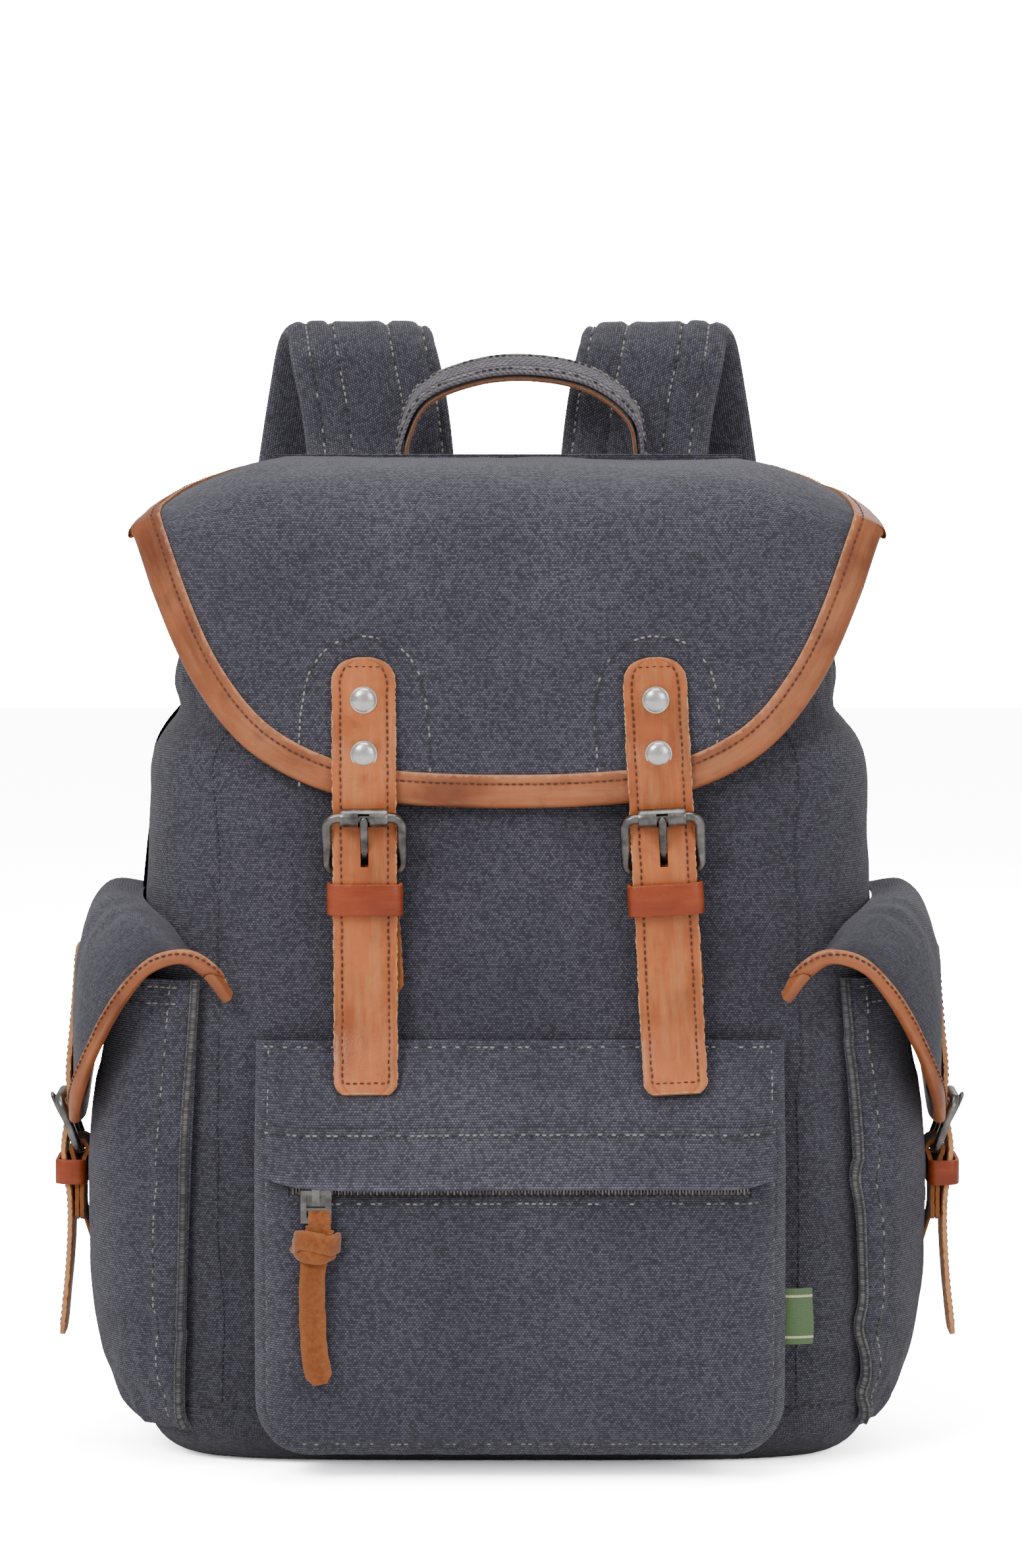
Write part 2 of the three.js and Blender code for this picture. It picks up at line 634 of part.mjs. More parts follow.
function buildPocketGusset() {
  const r = POCKET.corner;
  const outline = new THREE.Path();
  outline.moveTo(POCKET.left, POCKET.top - 3);
  outline.lineTo(POCKET.left, POCKET.bottom + r);
  outline.absarc(POCKET.left + r, POCKET.bottom + r, r, Math.PI, 1.5 * Math.PI);
  outline.lineTo(POCKET.right - r, POCKET.bottom);
  outline.absarc(POCKET.right - r, POCKET.bottom + r, r, 1.5 * Math.PI, 2 * Math.PI);
  outline.lineTo(POCKET.right, POCKET.top - 3);
  return block((u, v, t) => {
    const p = outline.getPointAt(u);
    const along = outline.getTangentAt(u);
    const x = p.x - along.y * (t * 2 + 0.1);
    const z = p.y + along.x * (t * 2 + 0.1);
    const back = bodyFrontY(x, z) - GAP - 0.2;
    const front = Math.min(pocketFaceY(x, z) + 2.2 + 1, back - 0.4);
    return new THREE.Vector3(x, front + v * (back - front), z);
  }, 40, 1);
}
addMesh(model, 'front_pocket_gusset', buildPocketGusset(), canvasLook());

const zipPlace = [ZIP_MIDDLE, -ZIP_FACE + ZIP.thick / 2, ZIP_HEIGHT];
addMesh(model, 'zip_chain', closed(box(ZIP_LENGTH, ZIP.thick, ZIP.high, zipPlace)), webbingLook());

const SLIDER = { x: -74, width: 9, high: 11 };
function buildSlider() {
  const plate = box(SLIDER.width, 2.4, SLIDER.high, [SLIDER.x, -ZIP_FACE - GAP - 1.3, ZIP_HEIGHT]);
  const post = box(3, 3.2, 2.4, [SLIDER.x, -ZIP_FACE - 4.2, ZIP_HEIGHT + 3.4]);
  const bridge = box(3, 1.4, 9, [SLIDER.x, -ZIP_FACE - 6.3, ZIP_HEIGHT + 0.1]);
  const foot = box(3, 3.2, 1.6, [SLIDER.x, -ZIP_FACE - 4.2, ZIP_HEIGHT - 3.6]);
  return join(plate, post, bridge, foot);
}
addMesh(model, 'zip_slider', buildSlider(), gunmetalLook());

const PULLER = {
  y: -ZIP_FACE - 4.15, pivot: ZIP_HEIGHT + 0.5, low: ZIP_HEIGHT - 11.4, width: 12, thick: 1.8,
};
function buildPuller() {
  const top = PULLER.pivot + 0.9;
  const middle = (PULLER.low + top) / 2;
  const plate = box(PULLER.width, PULLER.thick, top - PULLER.low, [SLIDER.x, PULLER.y, middle]);
  const window = (low, high) => box(7.4, 6, high - low, [SLIDER.x, PULLER.y, (low + high) / 2]);
  const bridgeWindow = window(PULLER.pivot - 5.9, top - 1.8);
  const thongWindow = window(PULLER.low + 2.1, PULLER.pivot - 7.1);
  return cut(closed(plate), bridgeWindow, thongWindow);
}
addMesh(model, 'zip_puller', buildPuller(), gunmetalLook());

function buildThong() {
  const y = PULLER.y;
  const knot = new THREE.SphereGeometry(7, 14, 10).scale(1.35, 0.55, 1.1).translate(SLIDER.x, y - 1, 97.2);
  const tail = ribbon(
    [[0, 95], [-1.5, 80], [-1, 62], [1, 43]].map(([x, z]) => new THREE.Vector3(SLIDER.x + x, y - 1, z)),
    { width: 10, thick: 2.2, across: () => new THREE.Vector3(1, 0, 0), steps: 10 },
  );
  return join(knot, tail);
}
addMesh(model, 'zip_thong', buildThong(), suedeLook());

function buildStormFlap() {
  return block((u, v, t) => {
    const side = Math.abs(2 * u - 1);
    const x = POCKET_MIDDLE + (POCKET_HALF - 4) * (2 * u - 1);
    const low = 121 + 6 * side ** 6;
    const z = STORM_TOP + v * (low - STORM_TOP);
    const slope = pocketFaceY(x, STORM_TOP) - STORM_GAP - (STORM_TOP - z) * 0.86;
    return new THREE.Vector3(x, Math.min(slope, pocketFaceY(x, z) - STORM_GAP) - t * 1.8, z);
  }, 16, 3);
}
addMesh(model, 'pocket_storm_flap', buildStormFlap(), canvasLook());

function buildLabel() {
  const low = 54;
  return block((u, v, t) => {
    const z = low + v * 22;
    const x = POCKET.right + GAP + 0.4 + u * 11;
    return new THREE.Vector3(x, pocketFaceY(POCKET.right, z) + 5 + u * 2 + t * 1.2, z);
  }, 4, 4);
}
addMesh(model, 'side_label', buildLabel(), look(0x4a693e, 0.9));

// ---- side pockets ----

const pocketBulgeAt = curveThrough([
  [SIDE_POCKET.bottom, 0.2], [24, 5], [45, 10.5], [80, 13.5], [110, SIDE_POCKET.bulge], [160, 12],
  [SIDE_POCKET.top, 8.5],
]);

/** A side pocket's wall: a sheet sewn to the body along its front, bottom and rear edges. */
function buildSidePocket(mirror, seam) {
  return block((u, v, t) => {
    const degrees = -seam + u * (seam + 180 - SIDE_POCKET.rear);
    const z = SIDE_POCKET.bottom + v * (SIDE_POCKET.top - SIDE_POCKET.bottom);
    const belly = Math.min(1, 1.25 * Math.sin(Math.PI * u)) ** 0.7;
    const out = SEAM_STANDOFF + pocketBulgeAt(z) * belly + t * 2.2;
    const p = wallPoint(THREE.MathUtils.degToRad(degrees), z, -out);
    return new THREE.Vector3(p.x * mirror, p.y, p.z);
  }, 16, 9);
}

/** The plan line, at y, that a pocket flap follows: flatter than the body's side, to clear the pocket. */
const sideX = (y) => 147.5 * (1 - Math.abs(y / 82) ** SQUARENESS) ** (1 / SQUARENESS);

const sideFlapPath = new THREE.CatmullRomCurve3(
  [[2.4, 225], [11, 226.8], [18.6, 220.5], [21.4, 204], [22.3, 180], [22.8, 140]].map(
    ([h, z]) => new THREE.Vector3(h, 0, z),
  ),
  false,
  'centripetal',
);
sideFlapPath.arcLengthDivisions = 400;
const SIDE_FLAP_LENGTH = sideFlapPath.getLength();

/** A point of the right pocket flap: along is towards the back, s is down from its hinge. */
function sideFlapPoint(along, s, lift) {
  const u = THREE.MathUtils.clamp(s / SIDE_FLAP_LENGTH, 0, 1);
  const tangent = sideFlapPath.getTangentAt(u);
  const p = sideFlapPath.getPointAt(u);
  const out = new THREE.Vector3(-tangent.z, 0, tangent.x);
  p.addScaledVector(out, lift);
  return new THREE.Vector3(sideX(along) + p.x, along, p.z);
}

const SIDE_FLAP_END = SIDE_FLAP_LENGTH - 9;
const sideFlapEdge = outlineOf([
  [-45, 1], [-47.5, 28], [-45, SIDE_FLAP_END - 26], [-36, SIDE_FLAP_END - 8], [-18, SIDE_FLAP_END],
  [12, SIDE_FLAP_END], [30, SIDE_FLAP_END - 8], [39, SIDE_FLAP_END - 26], [41, 28], [40, 1],
]);

const SIDE = {
  line: [
    [172, 203], [173, 188], [174.6, 170], [176.1, 153], [175.8, 143], [176.9, 132], [178.2, 122],
    [177.3, 112], [176, 102], [175.8, 90], [177, 70], [179.6, 46],
  ],
  upper: { out: 179.5, z: 142.4 },
  lower: { out: 172, z: 121.8 },
  tip: { out: 183.3, z: 142.4 },
  slot: [124.2, 136.5],
  tabEnd: 93,
  keeper: { inside: 170.5, outside: 180, low: 107.4, high: 117.4 },
  rivets: [],
  rivetFace: 0,
  roundTop: false,
};
const SIDE_STRAP_Y = -3;
const SIDE_SEAMS = { left: 25.5, right: 22 };

for (const side of ['left', 'right']) {
  const mirror = side === 'left' ? -1 : 1;
  const flip = (geometry) => (mirror < 0 ? closedAgain(geometry.clone().scale(-1, 1, 1)) : geometry);
  const pocket = closedAgain(buildSidePocket(mirror, SIDE_SEAMS[side]));
  addMesh(model, `side_pocket_${side}`, pocket, canvasLook());
  const panel = sheetPanel(sideFlapEdge, 0.3, sideFlapPoint, 1.6, 8, 17);
  addMesh(model, `side_flap_${side}`, flip(panel), canvasLook());
  const binding = edgeBinding(sideFlapEdge, sideFlapPoint, 1.6, 8, 30);
  addMesh(model, `side_flap_binding_${side}`, flip(binding), leatherLook());
  const group = new THREE.Group();
  group.rotation.z = (mirror * Math.PI) / 2;
  group.position.set(0, SIDE_STRAP_Y, 0);
  model.add(group);
  addStrapSet(group, side, 'side', SIDE);
  const snap = buildSnap(165.9, 102, 6.5, 3.2);
  addMesh(group, `side_snap_${side}`, snap, nickelLook());
}

/** Turns a mirrored geometry's faces outwards again. */
function closedAgain(geometry) {
  geometry.setAttribute('normal', geometry.attributes.position.clone());
  geometry.setAttribute('uv', geometry.attributes.position.clone());
  return closed(geometry);
}

// ---- top handle ----

const HANDLE = { left: -43, right: 55, foot: 393, peak: 433, y: 73.8, width: 18 };
const HANDLE_TILT = THREE.MathUtils.degToRad(25);

function buildHandleLayer(lift, thick) {
  const rise = HANDLE.peak - HANDLE.foot;
  const points = [
    [0, 0], [0.01, 0.32], [0.09, 0.72], [0.3, 0.95], [0.54, 1], [0.8, 0.86], [0.96, 0.52], [1, 0],
  ].map(([along, up]) => new THREE.Vector3(
    THREE.MathUtils.lerp(HANDLE.left, HANDLE.right, along), HANDLE.y, HANDLE.foot + up * rise,
  ));
  const across = new THREE.Vector3(0, Math.cos(HANDLE_TILT), Math.sin(HANDLE_TILT));
  return ribbon(points, { width: HANDLE.width, thick, across: () => across, steps: 26, lift });
}
// the ribbon's outward side faces down here, so the webbing on top has the negative lift
addMesh(model, 'handle_webbing', buildHandleLayer(-1.5, 2.2), webbingLook());
addMesh(model, 'handle_leather', buildHandleLayer(1.5, 2.4), suedeLook());

// ---- shoulder straps ----

const PAD_LINE = [
  [-50, 73.5, 345], [-51, 81, 372], [-53, 95, 398], [-56, 100.5, 420], [-60, 107, 438], [-62, 117, 445.5],
  [-66, 128, 440], [-71, 134, 415], [-79, 134, 360], [-87, 127, 290], [-93, 116, 220], [-97, 106, 172],
];
const WEBBING_TOP = new THREE.Vector3(-97.5, 103.5, 165);
const WEBBING_LOW = new THREE.Vector3(-111.5, 76, 66);
const WEBBING_LINE = [0, 0.2, 0.4, 0.6, 0.8, 1]
  .map((t) => WEBBING_TOP.clone().lerp(WEBBING_LOW, t).toArray())
  .concat([[-113.6, 71.4, 50], [-116, 67.4, 34]]);
const ADJUSTER_AT = 0.4; // along the straight part of the webbing, from the pad's end

/** Joins each side's straps: the pad, the webbing below it and the adjuster on the webbing. */
function addShoulder(side) {
  const mirror = side === 'left' ? 1 : -1;
  const at = ([x, y, z]) => new THREE.Vector3(x * mirror, y, z);
  const across = (u) => new THREE.Vector3(1, mirror * 0.25 * u, 0).normalize();
  const pad = ribbon(PAD_LINE.map(at), {
    width: PAD_WIDTH,
    thick: (u) => PAD_THICK * Math.min(1, 0.55 + 3 * u, 0.45 + 5 * (1 - u)),
    across,
    steps: 32,
    tips: (u) => 1 - 0.25 * Math.max(0, (u - 0.8) / 0.2) ** 2,
  });
  addMesh(model, `shoulder_pad_${side}`, pad, canvasLook());
  const webbing = ribbon(WEBBING_LINE.map(at), {
    width: STRAP_WIDTH, thick: WEBBING_THICK, across: () => across(1), steps: 16,
  });
  addMesh(model, `shoulder_webbing_${side}`, webbing, webbingLook());

  const [top, low] = [at(WEBBING_TOP.toArray()), at(WEBBING_LOW.toArray())];
  const down = low.clone().sub(top).normalize();
  const width = across(1).clone();
  const out = new THREE.Vector3().crossVectors(width, down).normalize();
  width.crossVectors(down, out).normalize();
  const half = STRAP_WIDTH / 2 + 0.8;
  const rail = (sign) => box(3, 22, 7.4, [sign * (half + 1.5), 0, 0]);
  const bar = (along, lift) => box(2 * half + 3, 3.4, 2.4, [0, along, lift]);
  const frame = join(rail(-1), rail(1), bar(-9.3, 2.5), bar(9.3, 2.5), bar(0, -2.5));
  const place = new THREE.Matrix4().makeBasis(width, down, out);
  frame.applyMatrix4(place);
  const centre = top.clone().lerp(low, ADJUSTER_AT);
  frame.translate(centre.x, centre.y, centre.z);
  addMesh(model, `strap_adjuster_${side}`, frame, gunmetalLook());
}
addShoulder('left');
addShoulder('right');

export default model;
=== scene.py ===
"""Looks of the canvas travel backpack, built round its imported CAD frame.

Shapes are worked out in millimetres, in the CAD's frame, and turned into metres as each mesh is made.
"""

import json
import math

import bmesh
import bpy
import numpy as np
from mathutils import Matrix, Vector

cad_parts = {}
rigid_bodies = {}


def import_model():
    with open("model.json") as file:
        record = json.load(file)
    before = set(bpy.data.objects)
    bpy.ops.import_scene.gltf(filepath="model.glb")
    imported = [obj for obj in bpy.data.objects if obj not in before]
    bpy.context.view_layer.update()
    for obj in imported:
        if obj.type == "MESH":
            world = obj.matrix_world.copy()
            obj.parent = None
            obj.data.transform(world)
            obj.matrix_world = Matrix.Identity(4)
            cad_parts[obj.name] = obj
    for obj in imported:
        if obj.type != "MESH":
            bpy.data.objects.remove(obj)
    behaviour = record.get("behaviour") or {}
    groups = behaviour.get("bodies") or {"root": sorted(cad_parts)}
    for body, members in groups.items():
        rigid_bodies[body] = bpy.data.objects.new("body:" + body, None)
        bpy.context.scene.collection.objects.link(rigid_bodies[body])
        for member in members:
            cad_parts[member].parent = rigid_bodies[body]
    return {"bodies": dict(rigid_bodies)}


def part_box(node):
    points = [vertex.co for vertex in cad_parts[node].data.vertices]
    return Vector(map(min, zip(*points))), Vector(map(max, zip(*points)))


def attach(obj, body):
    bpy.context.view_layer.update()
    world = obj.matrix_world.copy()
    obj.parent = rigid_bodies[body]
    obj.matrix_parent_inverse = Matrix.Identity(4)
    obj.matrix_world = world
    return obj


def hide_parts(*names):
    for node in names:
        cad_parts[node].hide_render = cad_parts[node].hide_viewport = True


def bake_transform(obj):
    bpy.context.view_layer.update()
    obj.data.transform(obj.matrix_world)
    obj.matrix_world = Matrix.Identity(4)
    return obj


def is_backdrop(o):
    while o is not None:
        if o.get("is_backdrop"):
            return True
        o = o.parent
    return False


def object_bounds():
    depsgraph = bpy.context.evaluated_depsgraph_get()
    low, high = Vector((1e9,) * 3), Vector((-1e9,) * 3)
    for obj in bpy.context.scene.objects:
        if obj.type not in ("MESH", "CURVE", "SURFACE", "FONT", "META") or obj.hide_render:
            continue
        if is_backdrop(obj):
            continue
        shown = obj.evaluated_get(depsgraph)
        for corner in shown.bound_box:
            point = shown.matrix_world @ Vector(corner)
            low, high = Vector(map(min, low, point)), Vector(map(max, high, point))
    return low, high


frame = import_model()
cad_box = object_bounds()

MM = 0.001

# ---- sizes repeated from the CAD, in millimetres ----
GAP = 0.3
BASE_FILLET = 24
SQUARENESS = 4
MOUTH_HEIGHT = 372
HEM_HEIGHT = 24
YOKE_RISE = 19
LINING_DEPTH = 3.9
SEAM_ANGLE = 27
BASE_SEAM = 24.5
FLAP_THICK = 2.0
WING_START = 88
WING_TIP = 147
WING_DROP = 24
BINDING_WIDTH = 11
BINDING_THICK = 1.4
STRAP_WIDTH = 25
STRAP_THICK = 2.6
TAB_WIDTH = 24
WIRE = 1.95
SLEEVE_RADIUS = 3.7
RIVET_RADIUS = 5.25
POCKET_LEFT, POCKET_RIGHT, POCKET_BOTTOM, POCKET_TOP, POCKET_CORNER = -98, 108, 12, 172, 20
ZIP_LEFT, ZIP_RIGHT, ZIP_HEIGHT = -85, 95, 117
STORM_TOP = 138.5
SIDE_BOTTOM, SIDE_TOP, SIDE_REAR = 15, 195, 150
SIDE_SEAMS = {-1: (22.5, 25.5), 1: (17.0, 22.0)}  # degrees at the bottom and at the top
PAD_WIDTH = 61
PAD_THICK = 13


# ---- curves and noise ----

def curve_through(pairs):
    """A smooth function through [input, output] pairs, held level beyond both ends."""
    at = np.array([p[0] for p in pairs], float)
    value = np.array([p[1] for p in pairs], float)
    last = len(pairs) - 1
    slope = np.array([
        (value[min(i + 1, last)] - value[max(i - 1, 0)]) / (at[min(i + 1, last)] - at[max(i - 1, 0)])
        for i in range(last + 1)
    ])

    def smooth(x):
        x = np.asarray(x, float)
        i = np.clip(np.searchsorted(at, x, side="right") - 1, 0, last - 1)
        span = at[i + 1] - at[i]
        t = np.clip((x - at[i]) / span, 0, 1)
        blend = t * t * (3 - 2 * t)
        bow = t * (1 - t) * ((1 - t) * slope[i] - t * slope[i + 1]) * span
        return value[i] * (1 - blend) + value[i + 1] * blend + bow

    return smooth


class Path:
    """A centripetal Catmull-Rom curve through points, walked by its length."""

    def __init__(self, points, closed=False, per=24):
        p = np.array(points, float)
        if closed:
            p = np.vstack([p[-1], p, p[0], p[1]])
        else:
            p = np.vstack([2 * p[0] - p[1], p, 2 * p[-1] - p[-2]])
        dense = [p[1]]
        for k in range(len(p) - 3):
            p0, p1, p2, p3 = p[k:k + 4]
            pairs = ((p0, p1), (p1, p2), (p2, p3))
            d0, d1, d2 = [max(np.linalg.norm(b - a), 1e-6) ** 0.5 for a, b in pairs]
            m1 = ((p1 - p0) / d0 - (p2 - p0) / (d0 + d1) + (p2 - p1) / d1) * d1
            m2 = ((p2 - p1) / d1 - (p3 - p1) / (d1 + d2) + (p3 - p2) / d2) * d1
            t = np.linspace(0, 1, per + 1)[1:, None]
            dense.extend(
                p1 * (2 * t**3 - 3 * t**2 + 1) + m1 * (t**3 - 2 * t**2 + t)
                + p2 * (3 * t**2 - 2 * t**3) + m2 * (t**3 - t**2)
            )
        self.points = np.array(dense)
        steps = np.linalg.norm(np.diff(self.points, axis=0), axis=1)
        self.reached = np.concatenate([[0], np.cumsum(steps)])
        self.length = self.reached[-1]

    def at(self, u):
        """Points at shares u of the curve's length."""
        s = np.clip(u, 0, 1) * self.length
        return np.stack([np.interp(s, self.reached, column) for column in self.points.T], -1)

    def tangent(self, u):
        step = 0.002
        ahead = self.at(np.minimum(np.asarray(u) + step, 1)) - self.at(np.maximum(np.asarray(u) - step, 0))
        return ahead / np.linalg.norm(ahead, axis=-1, keepdims=True)


def noise(x, y, seed):
    """Smooth value noise between -1 and 1, one lattice cell to a unit."""
    lattice = np.random.RandomState(seed).rand(64, 64) * 2 - 1
    xi, yi = np.floor(x).astype(int), np.floor(y).astype(int)
    fx, fy = x - xi, y - yi
    fx, fy = fx * fx * (3 - 2 * fx), fy * fy * (3 - 2 * fy)
    at = lambda i, j: lattice[(xi + i) % 64, (yi + j) % 64]
    low = at(0, 0) * (1 - fx) + at(1, 0) * fx
    high = at(0, 1) * (1 - fx) + at(1, 1) * fx
    return low * (1 - fy) + high * fy


def rumple(x, y, seed, size=55):
    """Soft unevenness of worn cloth: broad swells with smaller ones on them."""
    return (
        noise(x / size, y / size, seed)
        + 0.45 * noise(x / size * 2.3 + 7, y / size * 2.3, seed + 1)
        + 0.2 * noise(x / size * 5.1, y / size * 5.1 + 3, seed + 2)
    )


def crease(x, y, start, end, width):
    """A fold line from start to end, 1 on the line and fading over its width and at its ends."""
    ax, ay = start
    bx, by = end
    length2 = (bx - ax) ** 2 + (by - ay) ** 2
    t = ((x - ax) * (bx - ax) + (y - ay) * (by - ay)) / length2
    clear = np.clip(t, 0, 1)
    off = np.hypot(x - ax - clear * (bx - ax), y - ay - clear * (by - ay))
    fade = np.clip(4 * clear * (1 - clear), 0, 1) ** 0.5
    return np.exp(-((off / width) ** 2)) * fade


def ease(value, low, high):
    """0 below low, 1 above high, smooth between."""
    t = np.clip((value - low) / (high - low), 0, 1)
    return t * t * (3 - 2 * t)


def unit(v):
    return v / np.maximum(np.linalg.norm(v, axis=-1, keepdims=True), 1e-9)


def normals_of(grid):
    """Unit normals of a grid of points, from its rows and columns."""
    return unit(np.cross(np.gradient(grid, axis=0), np.gradient(grid, axis=1)))


def spread_of(grid):
    """Texture coordinates in millimetres, from the middle row's and the middle column's lengths."""
    n, m = grid.shape[:2]
    rows = np.linalg.norm(np.diff(grid[:, m // 2], axis=0), axis=1)
    columns = np.linalg.norm(np.diff(grid[n // 2], axis=0), axis=1)
    u = np.concatenate([[0], np.cumsum(rows)])
    v = np.concatenate([[0], np.cumsum(columns)])
    return np.stack(np.meshgrid(u, v, indexing="ij"), -1)


# ---- meshes ----

class Builder:
    """Collects grids of quads into one mesh, each corner with a texture place and a rim value."""

    def __init__(self):
        self.points, self.faces, self.places, self.rims = [], [], [], []
        self.count = 0

    def grid(self, points, places=None, rim=None, flip=False, keep=None):
        n, m = points.shape[:2]
        places = spread_of(points) if places is None else places
        rim = np.zeros((n, m)) if rim is None else np.broadcast_to(rim, (n, m))
        index = np.arange(n * m).reshape(n, m)
        corner = lambda a: np.stack([a[:-1, :-1], a[1:, :-1], a[1:, 1:], a[:-1, 1:]], 2)
        faces, spots, edges = corner(index), corner(places), corner(rim)
        if flip:
            faces, spots, edges = faces[:, :, ::-1], spots[:, :, ::-1], edges[:, :, ::-1]
        chosen = np.ones((n - 1, m - 1), bool) if keep is None else keep
        self.points.append(points.reshape(-1, 3))
        self.faces.append(faces[chosen] + self.count)
        self.places.append(spots[chosen].reshape(-1, 4, 2))
        self.rims.append(edges[chosen].reshape(-1, 4))
        self.count += n * m
        return self

    def slab(self, middle, thick, places=None, rim=None, around=False, keep=None):
        """A sheet with two faces and its edges closed; around leaves the first and last rows open."""
        places = spread_of(middle) if places is None else places
        out = normals_of(middle)
        if around:
            out[0] = out[-1] = unit(out[0] + out[-1])
        top, low = middle + out * thick / 2, middle - out * thick / 2
        self.grid(top, places, rim, keep=keep)
        self.grid(low, places, rim, flip=True, keep=keep)
        sides = [(top[:, 0], low[:, 0], places[:, 0], True), (top[:, -1], low[:, -1], places[:, -1], False)]
        if not around:
            sides += [(top[0], low[0], places[0], False), (top[-1], low[-1], places[-1], True)]
        for upper, lower, spots, flip in sides:
            drop = np.array([thick, 0.0])
            strip = np.stack([upper, lower], 1)
            self.grid(strip, np.stack([spots, spots + drop], 1), np.ones(strip.shape[:2]), flip=not flip)
        return self

    def sweep(self, centres, side, out, section, caps=True, rim=None, closed=False):
        """A closed outline, [across, out] pairs for every point or for all, carried along a line."""
        n = len(centres)
        section = np.broadcast_to(section, (n,) + np.shape(section)[-2:])
        rings = centres[:, None] + side[:, None] * section[..., :1] + out[:, None] * section[..., 1:]
        rings = np.concatenate([rings, rings[:, :1]], 1)
        run = np.concatenate([[0], np.cumsum(np.linalg.norm(np.diff(centres, axis=0), axis=1))])
        girth = np.concatenate([[0], np.cumsum(np.linalg.norm(np.diff(rings[0], axis=0), axis=1))])
        if closed:
            rings = np.concatenate([rings, rings[:1]], 0)
            run = np.append(run, run[-1] + np.linalg.norm(centres[0] - centres[-1]))
            rim = None if rim is None else np.concatenate([rim, rim[:1]], 0)
        places = np.stack(np.meshgrid(run, girth, indexing="ij"), -1)
        if rim is not None:
            rim = np.concatenate([np.broadcast_to(rim, rings[:, :-1].shape[:2]), rim[:, :1]], 1)
        self.grid(rings, places, rim, flip=True)
        if caps and not closed:
            for k, flip in ((0, True), (-1, False)):
                middle = np.broadcast_to(rings[k, :-1].mean(0), rings[k].shape)
                cap = np.stack([rings[k], middle * 0.9 + rings[k] * 0.1, middle], 0)
                spots = np.broadcast_to(places[k], (3,) + places[k].shape)
                self.grid(cap, spots, np.ones(cap.shape[:2]), flip=flip)
        return self

    def move(self, place):
        """Passes every point so far through a function."""
        self.points = [place(p) for p in self.points]
        return self

    def make(self, name, material, body, nodes=(), slot=None, sharp=50):
        points = np.concatenate(self.points) * MM
        faces = np.concatenate(self.faces)
        mesh = bpy.data.meshes.new(name)
        mesh.from_pydata(points.tolist(), [], faces.tolist())
        places = mesh.uv_layers.new(name="place")
        places.data.foreach_set("uv", (np.concatenate(self.places) * MM).ravel())
        rims = mesh.attributes.new("rim", "FLOAT", "CORNER")
        rims.data.foreach_set("value", np.concatenate(self.rims).astype(np.float32).ravel())
        work = bmesh.new()
        work.from_mesh(mesh)
        bmesh.ops.remove_doubles(work, verts=work.verts, dist=2e-6)
        bmesh.ops.recalc_face_normals(work, faces=work.faces)
        work.to_mesh(mesh)
        work.free()
        mesh.shade_smooth()
        mesh.set_sharp_from_angle(angle=math.radians(sharp))
        obj = bpy.data.objects.new(name, mesh)
        bpy.context.scene.collection.objects.link(obj)
        mesh.materials.append(material)
        if isinstance(body, str):
            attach(obj, body)
        else:
            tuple(body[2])
            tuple(body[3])
            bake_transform(obj)
        if nodes:
            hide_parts(*nodes)
        return obj


def rounded(width, thick, round_by=None, per=3):
    """The outline of a rounded bar: [across, out] pairs."""
    r = min(thick / 2, width / 2) * 0.98 if round_by is None else round_by
    outline = []
    for cx, cy, start in ((1, 1, 0), (-1, 1, 90), (-1, -1, 180), (1, -1, 270)):
        for k in range(per + 1):
            a = math.radians(start + 90 * k / per)
            outline.append([cx * (width / 2 - r) + r * math.cos(a), cy * (thick / 2 - r) + r * math.sin(a)])
    return np.array(outline)


def circle(radius, sides=12):
    a = np.linspace(0, 2 * math.pi, sides, endpoint=False)
    return np.stack([radius * np.cos(a), radius * np.sin(a)], 1)


def frame_along(points, across):
    """Side and outward directions for a line of points, from a rough width direction."""
    tangent = unit(np.gradient(points, axis=0))
    side = np.broadcast_to(across, points.shape)
    out = unit(np.cross(side, tangent))
    return unit(np.cross(tangent, out)), out


def stitch_line(builder, points, out, pitch=2.7, gap=0.9, radius=0.42, seed=1, sink=0.02):
    """Thread capsules laid end to end along a line, each with its own shade in its rim value."""
    chance = np.random.RandomState(seed)
    run = np.concatenate([[0], np.cumsum(np.linalg.norm(np.diff(points, axis=0), axis=1))])
    count = int(run[-1] // pitch)
    if count < 1:
        return
    starts = (np.arange(count) + 0.5) * run[-1] / count
    pick = lambda values, s: np.stack([np.interp(s, run, values[:, k]) for k in range(3)], -1)
    half = (pitch - gap) / 2
    for s in starts:
        wobble = chance.uniform(-0.12, 0.12, 2)
        a, b = pick(points, s - half), pick(points, s + half)
        up = unit(pick(out, s))
        along = unit(b - a)
        side = unit(np.cross(up, along))
        centre = (a + b) / 2 + up * (radius * 0.6 - sink) + side * wobble[0]
        reach = np.linalg.norm(b - a) / 2
        spots = np.array([-1, -0.86, -0.4, 0.4, 0.86, 1]) * reach
        sizes = np.array([0.15, 0.75, 1, 1, 0.75, 0.15]) * radius
        dips = np.array([-0.35, -0.1, 0.05, 0.05, -0.1, -0.35]) * radius * 2
        centres = centre + along * spots[:, None] + up * dips[:, None]
        section = circle(1, 6)[None] * sizes[:, None, None]
        shade = np.full((6, 6), chance.rand())
        frames = np.broadcast_to(side, (6, 3)), np.broadcast_to(up, (6, 3))
        builder.sweep(centres, *frames, section, caps=False, rim=shade)


# ---- materials ----

